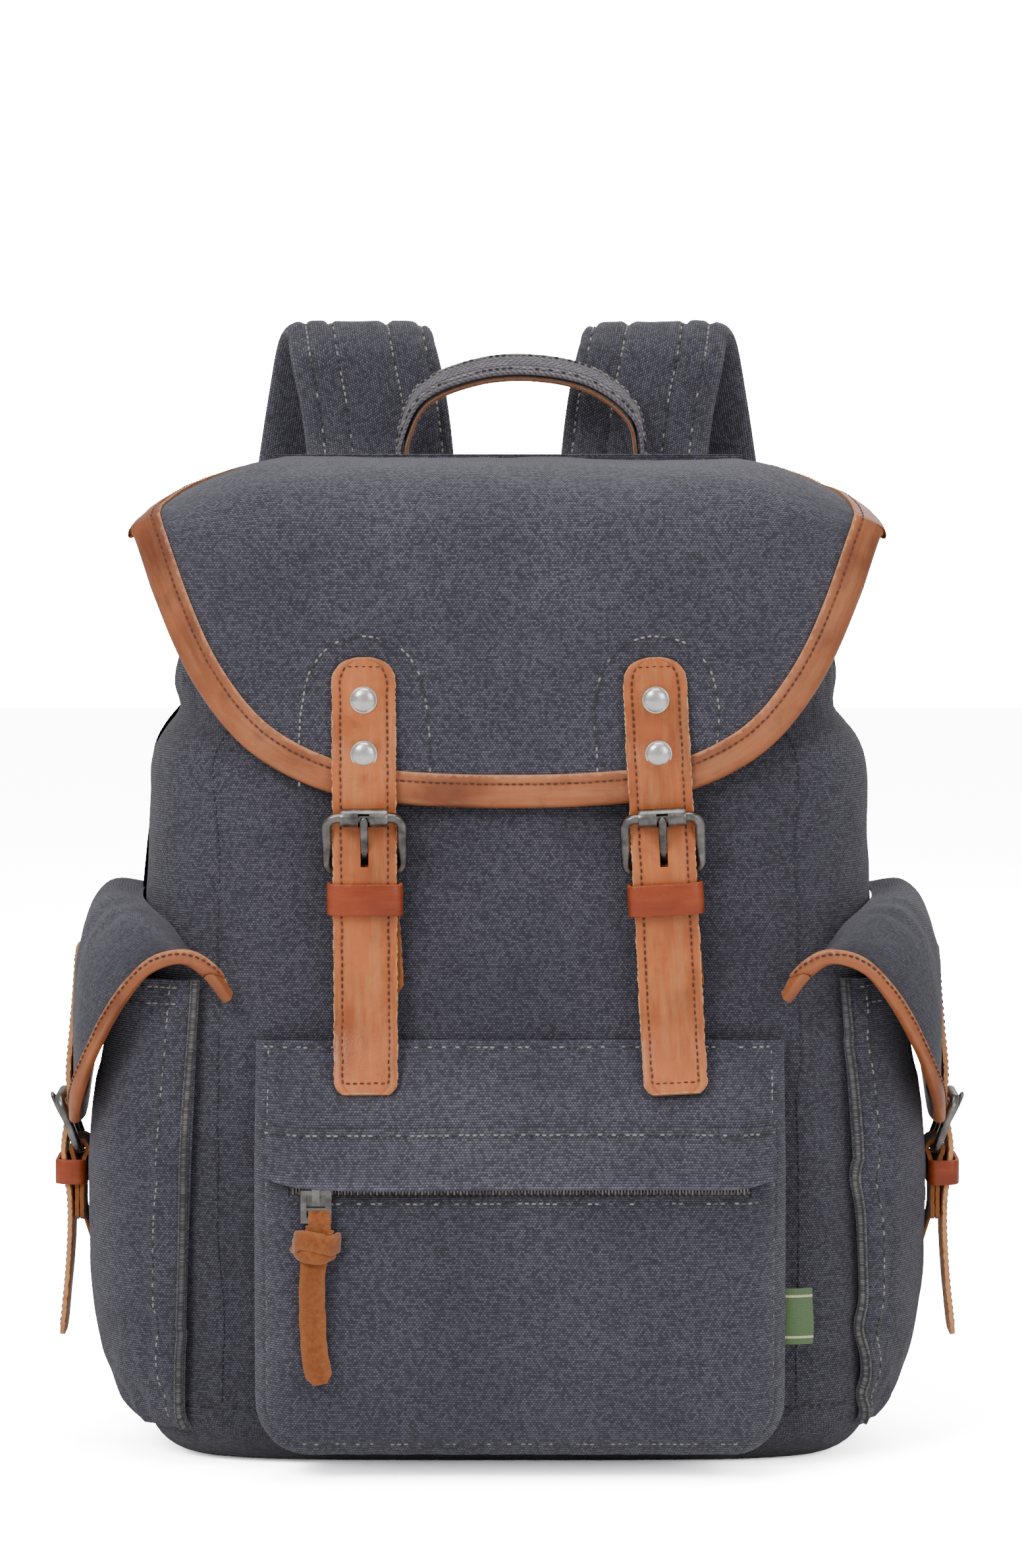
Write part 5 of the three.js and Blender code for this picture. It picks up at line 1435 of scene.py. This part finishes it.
def side_skin(u, z, mirror, lift=0.0):
    """A side pocket's worn outer face: u from its front seam to its rear one."""
    seam = seam_at(z, mirror)
    degrees = -seam + u * (seam + 180 - SIDE_REAR)
    belly = np.minimum(1, 1.25 * np.sin(math.pi * np.clip(u, 0, 1))) ** 0.7
    arc = degrees * 2.1
    room = np.minimum(u, 1 - u) * 100
    out = 3.4 + side_bulge_at(z) * belly
    out = out + 1.2 * rumple(arc, z, 301, 34) * ease(room, 2, 14)
    out = out - 2.4 * np.exp(-((z - SIDE_BOTTOM) / 16) ** 2) * np.sin(arc / 3.1) ** 2 * ease(room, 1, 6)
    out = out - 0.8 * np.exp(-(((room - 7) / 1.5) ** 2)) + 0.5 * np.exp(-(((room - 3.5) / 1.8) ** 2))
    for start, end, width, deep in (((-44, 120), (-18, 96), 7, 2.0), ((-46, 60), (-20, 44), 7, 2.2),
                                    ((-40, 176), (-16, 150), 8, 2.0), ((-44, 30), (-24, 24), 5, 1.8)):
        out = out - deep * crease(arc, z, start, end, width)
    point = wall_point(degrees, z, -(np.maximum(out, 1.4) + lift))
    return point * np.array([mirror, 1, 1])


def sew_on_side(builder, u, z, mirror, seed):
    points = side_skin(u, z, mirror)
    stitch_line(builder, points, unit(side_skin(u, z, mirror, 1.0) - points), radius=0.36, seed=seed)


def build_side_pocket(side, mirror):
    u = np.linspace(0, 1, 130)[:, None]
    v = np.linspace(0, 1, 110)[None]
    z = SIDE_BOTTOM + v * (SIDE_TOP - SIDE_BOTTOM) + 0 * u
    grid = side_skin(u + 0 * v, z, mirror)
    if mirror < 0:
        grid = grid[::-1]
    rim = 0.5 * np.exp(-(1 - v) * 40) + 0 * u
    cloth = Builder().slab(grid - normals_of(grid) * 1.0, 2.0, None, rim)
    cloth.make(f"side_pocket_cloth_{side}", POCKET_CLOTH, "bag", (f"side_pocket_{side}",), "canvas")

    # the bound edge that stands up along the pocket's front seam
    rise = np.linspace(SIDE_BOTTOM + 1, SIDE_TOP, 170)
    edge_at = np.full(170, 0.004)
    line = side_skin(edge_at, rise, mirror, 0.6)
    line[:, 0] += mirror * 0.4 * np.sin(rise / 17)
    tangent = unit(np.gradient(line, axis=0))
    outward = unit(side_skin(edge_at, rise, mirror, 8.0) - side_skin(edge_at, rise, mirror))
    across = unit(np.cross(outward, tangent))
    out = unit(np.cross(tangent, across))
    edge = Builder().sweep(line, across, out, rounded(2.0, 3.6, 0.8, 3))
    edge.make(f"side_pocket_bound_seam_{side}", BOUND_CLOTH, "bag", slot="canvas")

    sewn = Builder()
    rises = np.linspace(SIDE_BOTTOM + 4, SIDE_TOP - 1, 160)
    sew_on_side(sewn, np.full(160, 0.045), rises, mirror, 310 + mirror)
    for low, seed in ((3, 312), (9.5, 314)):
        across = np.linspace(0.03, 0.98, 200)
        sew_on_side(sewn, across, np.full(200, float(SIDE_TOP - low)), mirror, seed + mirror)
    sewn.make(f"side_pocket_stitches_{side}", DARK_THREAD, "bag", slot="canvas")


# rows of the pocket flap on the right, front corner to rear: at the wall, over the crest, down, free edge
FLAP_ROWS = [
    [[109.5, -65.5, 189], [109.5, -66.5, 188.8], [109.6, -67, 188.6], [109.7, -67.5, 188.2]],
    [[117, -66.5, 199], [117.3, -69, 199.4], [117.5, -70.6, 199.4], [117.6, -71.2, 198.8]],
    [[125, -65, 207.5], [125.7, -69.5, 207.8], [126.2, -71.6, 206.6], [126.6, -72, 203.6]],
    [[136, -58, 216.5], [137.5, -66.5, 216], [138.4, -70.4, 209.5], [138.6, -70.6, 200.5]],
    [[143, -48.5, 221.5], [147, -59, 221], [150, -65.4, 208], [149.6, -67, 188.5]],
    [[147.3, -35, 224], [155, -48, 222], [161, -57, 206], [160.4, -60, 170]],
    [[148.8, -20, 225], [160, -31, 224], [168.6, -40, 206], [169.2, -52, 149]],
    [[149.4, -5, 225], [161, -9, 226], [170.2, -14, 208], [172.6, -30, 137]],
    [[149.4, 10, 225], [161, 8, 226.5], [170.8, 4, 209], [173.0, -5, 133.5]],
    [[149.2, 22, 225], [160.4, 21, 226], [170.4, 21, 208], [172.8, 18, 134]],
    [[148.6, 32, 224], [160, 33, 224], [169, 35, 206], [171.5, 34, 147]],
    [[148, 40, 223], [158.4, 41, 221], [164, 43, 204], [166.5, 43, 178]],
    [[147.2, 44, 222], [151, 45, 220], [153, 45.5, 217], [153.5, 45.5, 213]],
]


def build_side_flap(side, mirror):
    rows = np.array(FLAP_ROWS, float)
    rows[3:, 0, 0] -= 3.5
    shares = np.linspace(0, 1, 60)
    lines = np.stack([Path(row, per=30).at(shares) for row in rows])
    count = 150
    columns = [Path(lines[:, j], per=20).at(np.linspace(0, 1, count)) for j in range(60)]
    grid = np.stack(columns, 1)
    u = np.linspace(0, 1, count)[:, None]
    v = shares[None]
    swell = 0.9 * rumple(u * 220, v * 80, 321 + mirror, 26) * np.sin(v * math.pi) * ease(u, 0.05, 0.3)
    swell = swell - 1.8 * crease(u * 220, v * 80, (62, 8), (84, 34), 6)
    swell = swell - 1.4 * crease(u * 220, v * 80, (92, 4), (98, 50), 7)
    grid = grid + normals_of(grid) * swell[..., None] * (-1 if normals_of(grid)[80, 50, 0] < 0 else 1)
    grid = grid * np.array([mirror, 1, 1])
    body = SIDE_FLAPS[side]
    start = (mirror * 0.124, -0.05, 0.222)
    end = (mirror * 0.157, -0.02, 0.218)
    blend = ("bag", body, start, end)
    ordered = grid if mirror > 0 else grid[::-1]
    cloth = Builder().slab(ordered, 1.6).make(
        f"side_flap_cloth_{side}", POCKET_CLOTH, blend, (f"side_flap_{side}",), "canvas")

    edge = grid[:, -1]
    ahead = unit(np.gradient(edge, axis=0))
    inward = unit(grid[:, -6] - edge)
    facing = unit(np.cross(ahead, inward))
    middle = np.array([mirror * 1.0, -1.0, 0.2])
    facing = facing * np.sign((facing * middle).sum(-1, keepdims=True))
    step = np.arange(count)
    reach = 7.6 * ease(step, -6, 12) * ease(-step, 1 - count - 6, 1 - count + 14) + 1.2
    face, skin = 0.95, 2.2
    fold = np.linspace(math.pi / 2, 3 * math.pi / 2, 9)
    ring = [[1.0, skin - 0.3], [0.94, skin], [0.5, skin + 0.2], [0.2, skin + 0.15]]
    ring += [[math.cos(a) * 0.22, skin * math.sin(a)] for a in fold]
    ring += [[0.5, -skin], [0.94, -skin], [1.0, -skin + 0.3], [1.0, -face], [1.0, face]]
    ring = np.array(ring)
    strip = edge[:, None] + inward[:, None] * (ring[None, :, :1] * reach[:, None, None])
    strip = strip + facing[:, None] * ring[None, :, 1:]
    rim = np.broadcast_to(np.array([1, 0.8, 0, 0] + [0.1] * 9 + [0, 0.8, 1, 1, 1])[None], strip.shape[:2])
    bound = Builder()
    close_ring(bound, strip, rim)
    node = f"side_flap_binding_{side}"
    trim = bound.make(f"side_flap_bound_edge_{side}", BINDING_TAN, blend, (node,), "leather")
    sewn = Builder()
    points = edge + inward * (reach[:, None] - 2.4) + facing * (skin + 0.12)
    stitch_line(sewn, points[8:-8], facing[8:-8], seed=331 + mirror, sink=0.12)
    sewn.make(f"side_flap_stitches_{side}", BROWN_THREAD, blend, slot="leather")


def build_side_straps():
    for name, mirror in (("left", -1), ("right", 1)):
        place = side_place(mirror)
        seed = 400 + 30 * mirror
        body = SIDE_FLAPS[name]
        build_strap(SIDE, f"side_strap_leather_{name}", place, body, (f"side_strap_{name}",), seed)
        build_buckle(SIDE, "side", name, place, body, PRONGS["side", name], sleeve=False)
        build_keeper(SIDE, place, f"side_keeper_loop_{name}", body, (), seed + 9)
        build_tab(SIDE, place, f"side_tab_leather_{name}", body, (f"side_buckle_tab_{name}",), 0.0, seed + 11)
        node = f"side_snap_{name}"
        outline = [[0, 3.1], [3, 2.9], [4, 2.2], [4.2, 1.5], [5.8, 1.2], [6.5, 0.6], [6.5, 0], [0, 0]]
        piece = lathe(Builder(), outline, [0, -165.9, 102], place)
        piece.make(f"{node}_cap", NICKEL, "bag", (node,), "nickel")
        # the anchor: a raw leather strip from behind the snap down to the pocket's side
        line = Path([[0, -170.2, 112], [0, -170.6, 104], [0, -170.4, 96], [0, -167.5, 86], [0, -164.0, 74]])
        u = np.linspace(0, 1, 50)
        centres = line.at(u)
        across, out = frame_along(centres, np.array([1.0, 0, 0]))
        wide = 9.5 * (1 - 0.3 * ease(u, 0.85, 1)) * (1 + 0.04 * noise(u * 12, u * 0, seed + 20))
        section = rounded(2, 1.8, 0.5, 2)[None] * np.stack([wide, np.ones(50)], 1)[:, None]
        piece = Builder().sweep(centres, across, out, section).move(place)
        piece.make(f"side_anchor_leather_{name}", RAW, "bag", slot="suede")


# ---- handle ----

HANDLE_LEFT, HANDLE_RIGHT, HANDLE_FOOT, HANDLE_PEAK = -43, 55, 393, 433
HANDLE_Y, HANDLE_WIDTH = 73.8, 18
HANDLE_TILT = math.radians(25)
YOKE_LOW, YOKE_TOP, YOKE_HALF = 326, 374, 88
ROOT_LOW, ROOT_TOP, ROOT_HALF = 366, 398.0, 96
BACK_FACE = 62.4


def build_handle():
    shape = [[0, 0], [0.01, 0.32], [0.09, 0.72], [0.3, 0.95], [0.54, 1], [0.8, 0.86], [0.96, 0.52], [1, 0]]
    span, rise = HANDLE_RIGHT - HANDLE_LEFT, HANDLE_PEAK - HANDLE_FOOT
    path = Path([[HANDLE_LEFT + a * span, HANDLE_Y, HANDLE_FOOT + b * rise] for a, b in shape], per=30)
    u = np.linspace(0, 1, 130)
    centres = path.at(u)
    across = np.array([0, math.cos(HANDLE_TILT), math.sin(HANDLE_TILT)])
    side, out = frame_along(centres, across)
    for name, lift, thick, material, node, slot, width in (
        ("handle_tape", -1.5, 2.2, TAPE, "handle_webbing", "webbing", HANDLE_WIDTH),
        ("handle_lining_leather", 1.3, 2.2, DARK_RAW, "handle_leather", "suede", HANDLE_WIDTH + 0.8),
    ):
        wide = width * (1 + 0.012 * noise(u * 30, u * 0, 501))
        section = rounded(1, thick, thick * 0.3, 3)[None] * np.stack([wide, np.ones(130)], 1)[:, None]
        section = section + np.array([0, lift])
        edge = np.broadcast_to((np.abs(section[0, :, 0]) > wide[0] / 2 - 0.4)[None] * 0.9, section.shape[:2])
        piece = Builder().sweep(centres, side, out, section, rim=edge)
        piece.make(name, material, "handle", (node,), slot)
    sewn = Builder()
    for off in (-6.2, 6.2):
        stitch_line(sewn, centres + side * off - out * 2.6, -out, seed=int(510 + off))
    sewn.make("handle_stitches", DARK_THREAD, "handle", slot="webbing")


def build_yoke():
    """The sewn strip on the back that the shoulder straps go into."""
    nu, nv = 160, 34
    x = np.linspace(-YOKE_HALF, YOKE_HALF, nu)[:, None]
    v = np.linspace(0, 1, nv)[None]
    bow = (x / YOKE_HALF) ** 2
    z = YOKE_LOW + 5 * bow + v * (YOKE_TOP - YOKE_LOW - 9 * bow)
    room = np.minimum(np.minimum(YOKE_HALF - np.abs(x), v * 40), (1 - v) * 40)
    puff = 4.2 * ease(room, -1, 7) + 0.7 * rumple(x, z, 521, 22) * ease(room, 1, 8)
    y = BACK_FACE + puff - 0.9 * np.exp(-(((room - 3.6) / 1.2) ** 2))
    grid = np.stack([x + 0 * v, y, z], -1)[::-1]
    yoke = Builder().slab(grid - normals_of(grid) * 1.2, 2.4, None)
    yoke.make("back_yoke", BODY_CLOTH, "bag", slot="canvas")
    sewn = Builder()
    for row in (3, nv - 4):
        stitch_line(sewn, grid[:, row], np.array([[0, 1.0, 0]] * nu), radius=0.36, seed=523 + row)
    for column in (3, nu - 4):
        stitch_line(sewn, grid[column], np.array([[0, 1.0, 0]] * nv), radius=0.36, seed=525 + column)
    sewn.make("back_yoke_stitches", DARK_THREAD, "bag", slot="canvas")


def build_flap_root():
    """The canvas between the back and the top flap's hinge."""
    x = np.linspace(-ROOT_HALF, ROOT_HALF, 120)[:, None] + 0 * np.linspace(0, 1, 20)
    v = np.linspace(0, 1, 20)[None]
    z = ROOT_LOW + v * (ROOT_TOP - ROOT_LOW) + 0 * x
    wall = back_at(z) + front_at(z) - body_front(x, z) + 0.4
    grid = np.stack([x, wall + (57.9 - wall) * ease(v, 0.45, 1.0), z], -1)[::-1]
    root = Builder().slab(grid, 1.8, None)
    root.make("flap_root_cloth", BODY_CLOTH, "bag", slot="canvas")


def build_handle_tabs():
    """The two short webbing tabs that hold the handle's feet to the back."""
    tabs = Builder()
    for foot in (HANDLE_LEFT, HANDLE_RIGHT):
        shape = [[62.5, 352], [64.5, 364], [67.5, 376], [71.5, 386], [HANDLE_Y, HANDLE_FOOT + 1.0]]
        centres = Path([[foot, y, z] for y, z in shape], per=12).at(np.linspace(0, 1, 40))
        across, out = frame_along(centres, np.array([1.0, 0, 0]))
        tabs.sweep(centres, across, out, rounded(HANDLE_WIDTH + 2, 2.6, 0.8, 2))
    tabs.make("handle_tabs", TAPE, "bag", slot="webbing")


# ---- shoulder straps ----

PAD_LINE = [
    [-50, 65.5, 338], [-50.5, 74, 352], [-51, 81, 372], [-53, 95, 398], [-56, 100.5, 420],
    [-60, 107, 438], [-62, 117, 445.5],
    [-66, 128, 440], [-71, 134, 415], [-79, 134, 360], [-87, 127, 290], [-93, 116, 220], [-97, 106, 172],
]
WEBBING_TOP = np.array([-97.5, 103.5, 165])
WEBBING_LOW = np.array([-111.5, 76, 66])
WEBBING_FOOT = [[-113.6, 71.4, 50], [-115.4, 66.0, 38], [-116.5, 60.0, 30], [-117.5, 53.0, 24]]
ADJUSTER_AT = 0.4
CHANNELS = (0.13, 0.30, 0.69, 0.92)  # the stitched channels, as shares of the pad's width


def build_shoulder(side, mirror):
    body = body_name("shoulder", side)
    line = np.array(PAD_LINE) * np.array([mirror, 1, 1])
    path = Path(line, per=30)
    nu, nv = 190, 62
    u = np.linspace(0, 1, nu)
    centres = path.at(u)
    across = unit(np.stack([np.ones(nu), mirror * 0.25 * u, np.zeros(nu)], 1))
    tangent = path.tangent(u)
    out = unit(np.cross(across, tangent))
    wide = unit(np.cross(tangent, out))
    width = PAD_WIDTH * (1 - 0.25 * np.maximum(0, (u - 0.8) / 0.2) ** 2)
    thick = PAD_THICK * np.minimum(np.minimum(1, 0.55 + 3 * u), 0.45 + 5 * (1 - u))
    v = (1 - np.cos(np.linspace(0, math.pi, nv))) / 2
    valley = np.zeros(nv)
    for spot in CHANNELS:
        near = spot if mirror > 0 else 1 - spot
        valley = np.maximum(valley, np.exp(-(((v - near) * PAD_WIDTH / 1.5) ** 2)))
    crown = np.sqrt(np.clip(1 - np.abs(2 * v - 1) ** 5, 0, 1))
    arc = u[:, None] * path.length
    lumps = 0.5 * rumple(arc, v[None] * PAD_WIDTH, 601 + mirror, 24)
    ridge = 0.25 * np.sin(arc / 2.4 + 2 * noise(arc / 9, v[None] * 4, 611)) * valley[None]
    high = thick[:, None] / 2 * crown[None] * (1 - 0.34 * valley[None]) + (lumps + ridge) * crown[None]
    x = (v[None] - 0.5) * width[:, None]
    base = centres[:, None] + wide[:, None] * x[..., None]
    top = base + out[:, None] * high[..., None]
    low = base - out[:, None] * (thick[:, None] / 2 * crown[None] * 0.92)[..., None]
    places = np.stack([np.broadcast_to(arc, x.shape), x + 50], -1)
    piece = Builder()
    piece.grid(top, places)
    piece.grid(low, places, flip=True)
    for k, flip in ((0, False), (-1, True)):
        piece.grid(np.stack([top[k], low[k]], 1), np.stack([places[k], places[k] + [3.0, 0]], 1), flip=flip)
    node = f"shoulder_pad_{side}"
    pad = piece.make(f"shoulder_pad_cloth_{side}", PAD_CLOTH, body, (node,), "canvas", sharp=70)
    sewn = Builder()
    rows = slice(6, -4)
    for rank, spot in enumerate(CHANNELS):
        near = spot if mirror > 0 else 1 - spot
        j = int(np.argmin(np.abs(v - near)))
        stitch_line(sewn, top[rows, j], out[rows], seed=620 + rank, pitch=3.0)
    sewn.make(f"shoulder_pad_stitches_{side}", DARK_THREAD, body, slot="canvas")

    top_end, low_end = [p * np.array([mirror, 1, 1]) for p in (WEBBING_TOP, WEBBING_LOW)]
    points = [top_end + t * (low_end - top_end) for t in (-0.12, 0, 0.2, 0.4, 0.6, 0.8, 1)]
    points += [np.array(p) * np.array([mirror, 1, 1]) for p in WEBBING_FOOT]
    path = Path(points)
    u = np.linspace(0, 1, 90)
    centres = path.at(u)
    lean = unit(np.array([1, mirror * 0.25, 0.0]))
    wide, out = frame_along(centres, lean)
    tape = Builder().sweep(centres, wide, out, rounded(STRAP_WIDTH, 1.7, 0.5, 2))
    tape.make(f"shoulder_tape_{side}", TAPE, body, (f"shoulder_webbing_{side}",), "webbing")

    down = unit(low_end - top_end)
    out = unit(np.cross(lean, down))
    wide = unit(np.cross(down, out))
    half = STRAP_WIDTH / 2 + 0.8
    centre = top_end + ADJUSTER_AT * (low_end - top_end)
    spots = ring_path(half + 1.5, 20, 4) - np.array([0, 10])
    bow = 1.6 * np.cos(spots[:, 1] / 10 * math.pi / 2)
    ring = centre + spots[:, :1] * wide + spots[:, 1:] * down + (2.4 - bow)[:, None] * out
    ahead = unit(np.roll(ring, -1, 0) - np.roll(ring, 1, 0))
    frame_piece = Builder()
    frame_piece.sweep(ring, unit(np.cross(ahead, np.broadcast_to(out, ring.shape))),
                      np.broadcast_to(out, ring.shape), rounded(3.0, 2.4, 0.9, 3), closed=True)
    bar = centre + np.linspace(-half - 1, half + 1, 12)[:, None] * wide - 2.5 * out
    frame_piece.sweep(bar, np.broadcast_to(down, bar.shape), np.broadcast_to(out, bar.shape),
                      rounded(3.4, 2.2, 0.9))
    for sign in (-1, 1):
        post = centre + sign * (half + 1.5) * wide + np.linspace(-3.2, 2.2, 6)[:, None] * out
        frame_piece.sweep(post, np.broadcast_to(wide, post.shape), np.broadcast_to(down, post.shape),
                          rounded(2.8, 5.0, 1.0))
    frame_piece.make(f"adjuster_slide_{side}", GUNMETAL, body_name("adjuster", side),
                     (f"strap_adjuster_{side}",), "gunmetal")


# ---- the scene ----

CAMERA_AWAY = 2.3
CAMERA_RISE = 5.0
VIEW_HEIGHT = 0.610
AIM = Vector((0.0015, -0.075, 0.274))
SKY_LIGHT, SKY_SEEN = 0.56, 18.0  # the plain white room: what it lights with, and how bright it looks
FLOOR_LIGHT, FLOOR_SEEN = 0.8, 20.0


def build_studio():
    size = 4.0
    mesh = bpy.data.meshes.new("floor")
    corners = [(-size, -size, 0), (size, -size, 0), (size, size, 0), (-size, size, 0)]
    mesh.from_pydata(corners, [], [(0, 1, 2, 3)])
    floor = bpy.data.objects.new("floor", mesh)
    bpy.context.scene.collection.objects.link(floor)
    paper = Shader("floor_paper")
    seen = paper.node("ShaderNodeLightPath").outputs["Is Camera Ray"]
    tone = paper.math("MULTIPLY_ADD", seen, FLOOR_SEEN - FLOOR_LIGHT, FLOOR_LIGHT)
    color = paper.node("ShaderNodeCombineXYZ", {0: tone, 1: tone, 2: tone}).outputs[0]
    matte = paper.node("ShaderNodeBsdfDiffuse", {"Color": color}).outputs[0]
    paper.join(matte, paper.tree.nodes["Material Output"].inputs["Surface"])
    mesh.materials.append(paper.material)
    floor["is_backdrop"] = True

    world = bpy.data.worlds.new("studio")
    world.use_nodes = True
    background = world.node_tree.nodes["Background"]
    background.inputs[0].default_value = (1.0, 1.0, 1.0, 1)
    seen = world.node_tree.nodes.new("ShaderNodeLightPath").outputs["Is Camera Ray"]
    strength = world.node_tree.nodes.new("ShaderNodeMath")
    strength.operation = "MULTIPLY_ADD"
    world.node_tree.links.new(seen, strength.inputs[0])
    strength.inputs[1].default_value = SKY_SEEN - SKY_LIGHT
    strength.inputs[2].default_value = SKY_LIGHT
    world.node_tree.links.new(strength.outputs[0], background.inputs[1])
    bpy.context.scene.world = world
    for name, where, width, power in (
        ("key", (-1.0, -1.7, 1.5), 0.8, 23), ("fill", (1.2, -1.7, 0.9), 0.9, 8),
        ("top", (0.0, -0.3, 1.9), 1.1, 12), ("back", (0.6, 1.7, 1.3), 1.0, 8),
    ):
        light = bpy.data.lights.new(name, "AREA")
        light.size = width
        light.energy = power
        lamp = bpy.data.objects.new(name, light)
        lamp.location = where
        lamp.rotation_euler = (Vector((0, 0, 0.22)) - Vector(where)).to_track_quat("-Z", "Y").to_euler()
        bpy.context.scene.collection.objects.link(lamp)

    camera = bpy.data.objects.new("camera", bpy.data.cameras.new("camera"))
    rise = math.radians(CAMERA_RISE)
    camera.location = AIM + CAMERA_AWAY * Vector((0, -math.cos(rise), math.sin(rise)))
    camera.rotation_euler = (AIM - camera.location).to_track_quat("-Z", "Y").to_euler()
    camera.data.sensor_width = 36
    camera.data.lens = 36 * CAMERA_AWAY / VIEW_HEIGHT
    camera.data.clip_start = 0.05
    camera.data.clip_end = 50
    bpy.context.scene.collection.objects.link(camera)
    bpy.context.scene.camera = camera


def polish_cad_nodes():
    """Gives the CAD nodes that stay a detailed material."""
    for name, material in (("drawcord_eyelet", GUNMETAL), ("zip_slider", GUNMETAL), ("zip_puller", GUNMETAL)):
        for holder in bpy.data.objects[name].material_slots:
            holder.material = material


build_studio()
build_body()
build_flap()
build_front_straps()
build_pocket()
build_storm_flap()
build_zip()
build_thong()
build_label()
for side_name, mirrored in (("left", -1), ("right", 1)):
    build_side_pocket(side_name, mirrored)
    build_side_flap(side_name, mirrored)
build_side_straps()
build_handle()
build_yoke()
build_flap_root()
build_handle_tabs()
build_shoulder("left", 1)
build_shoulder("right", -1)
polish_cad_nodes()

[list(corner) for corner in cad_box]
[list(corner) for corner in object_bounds()]
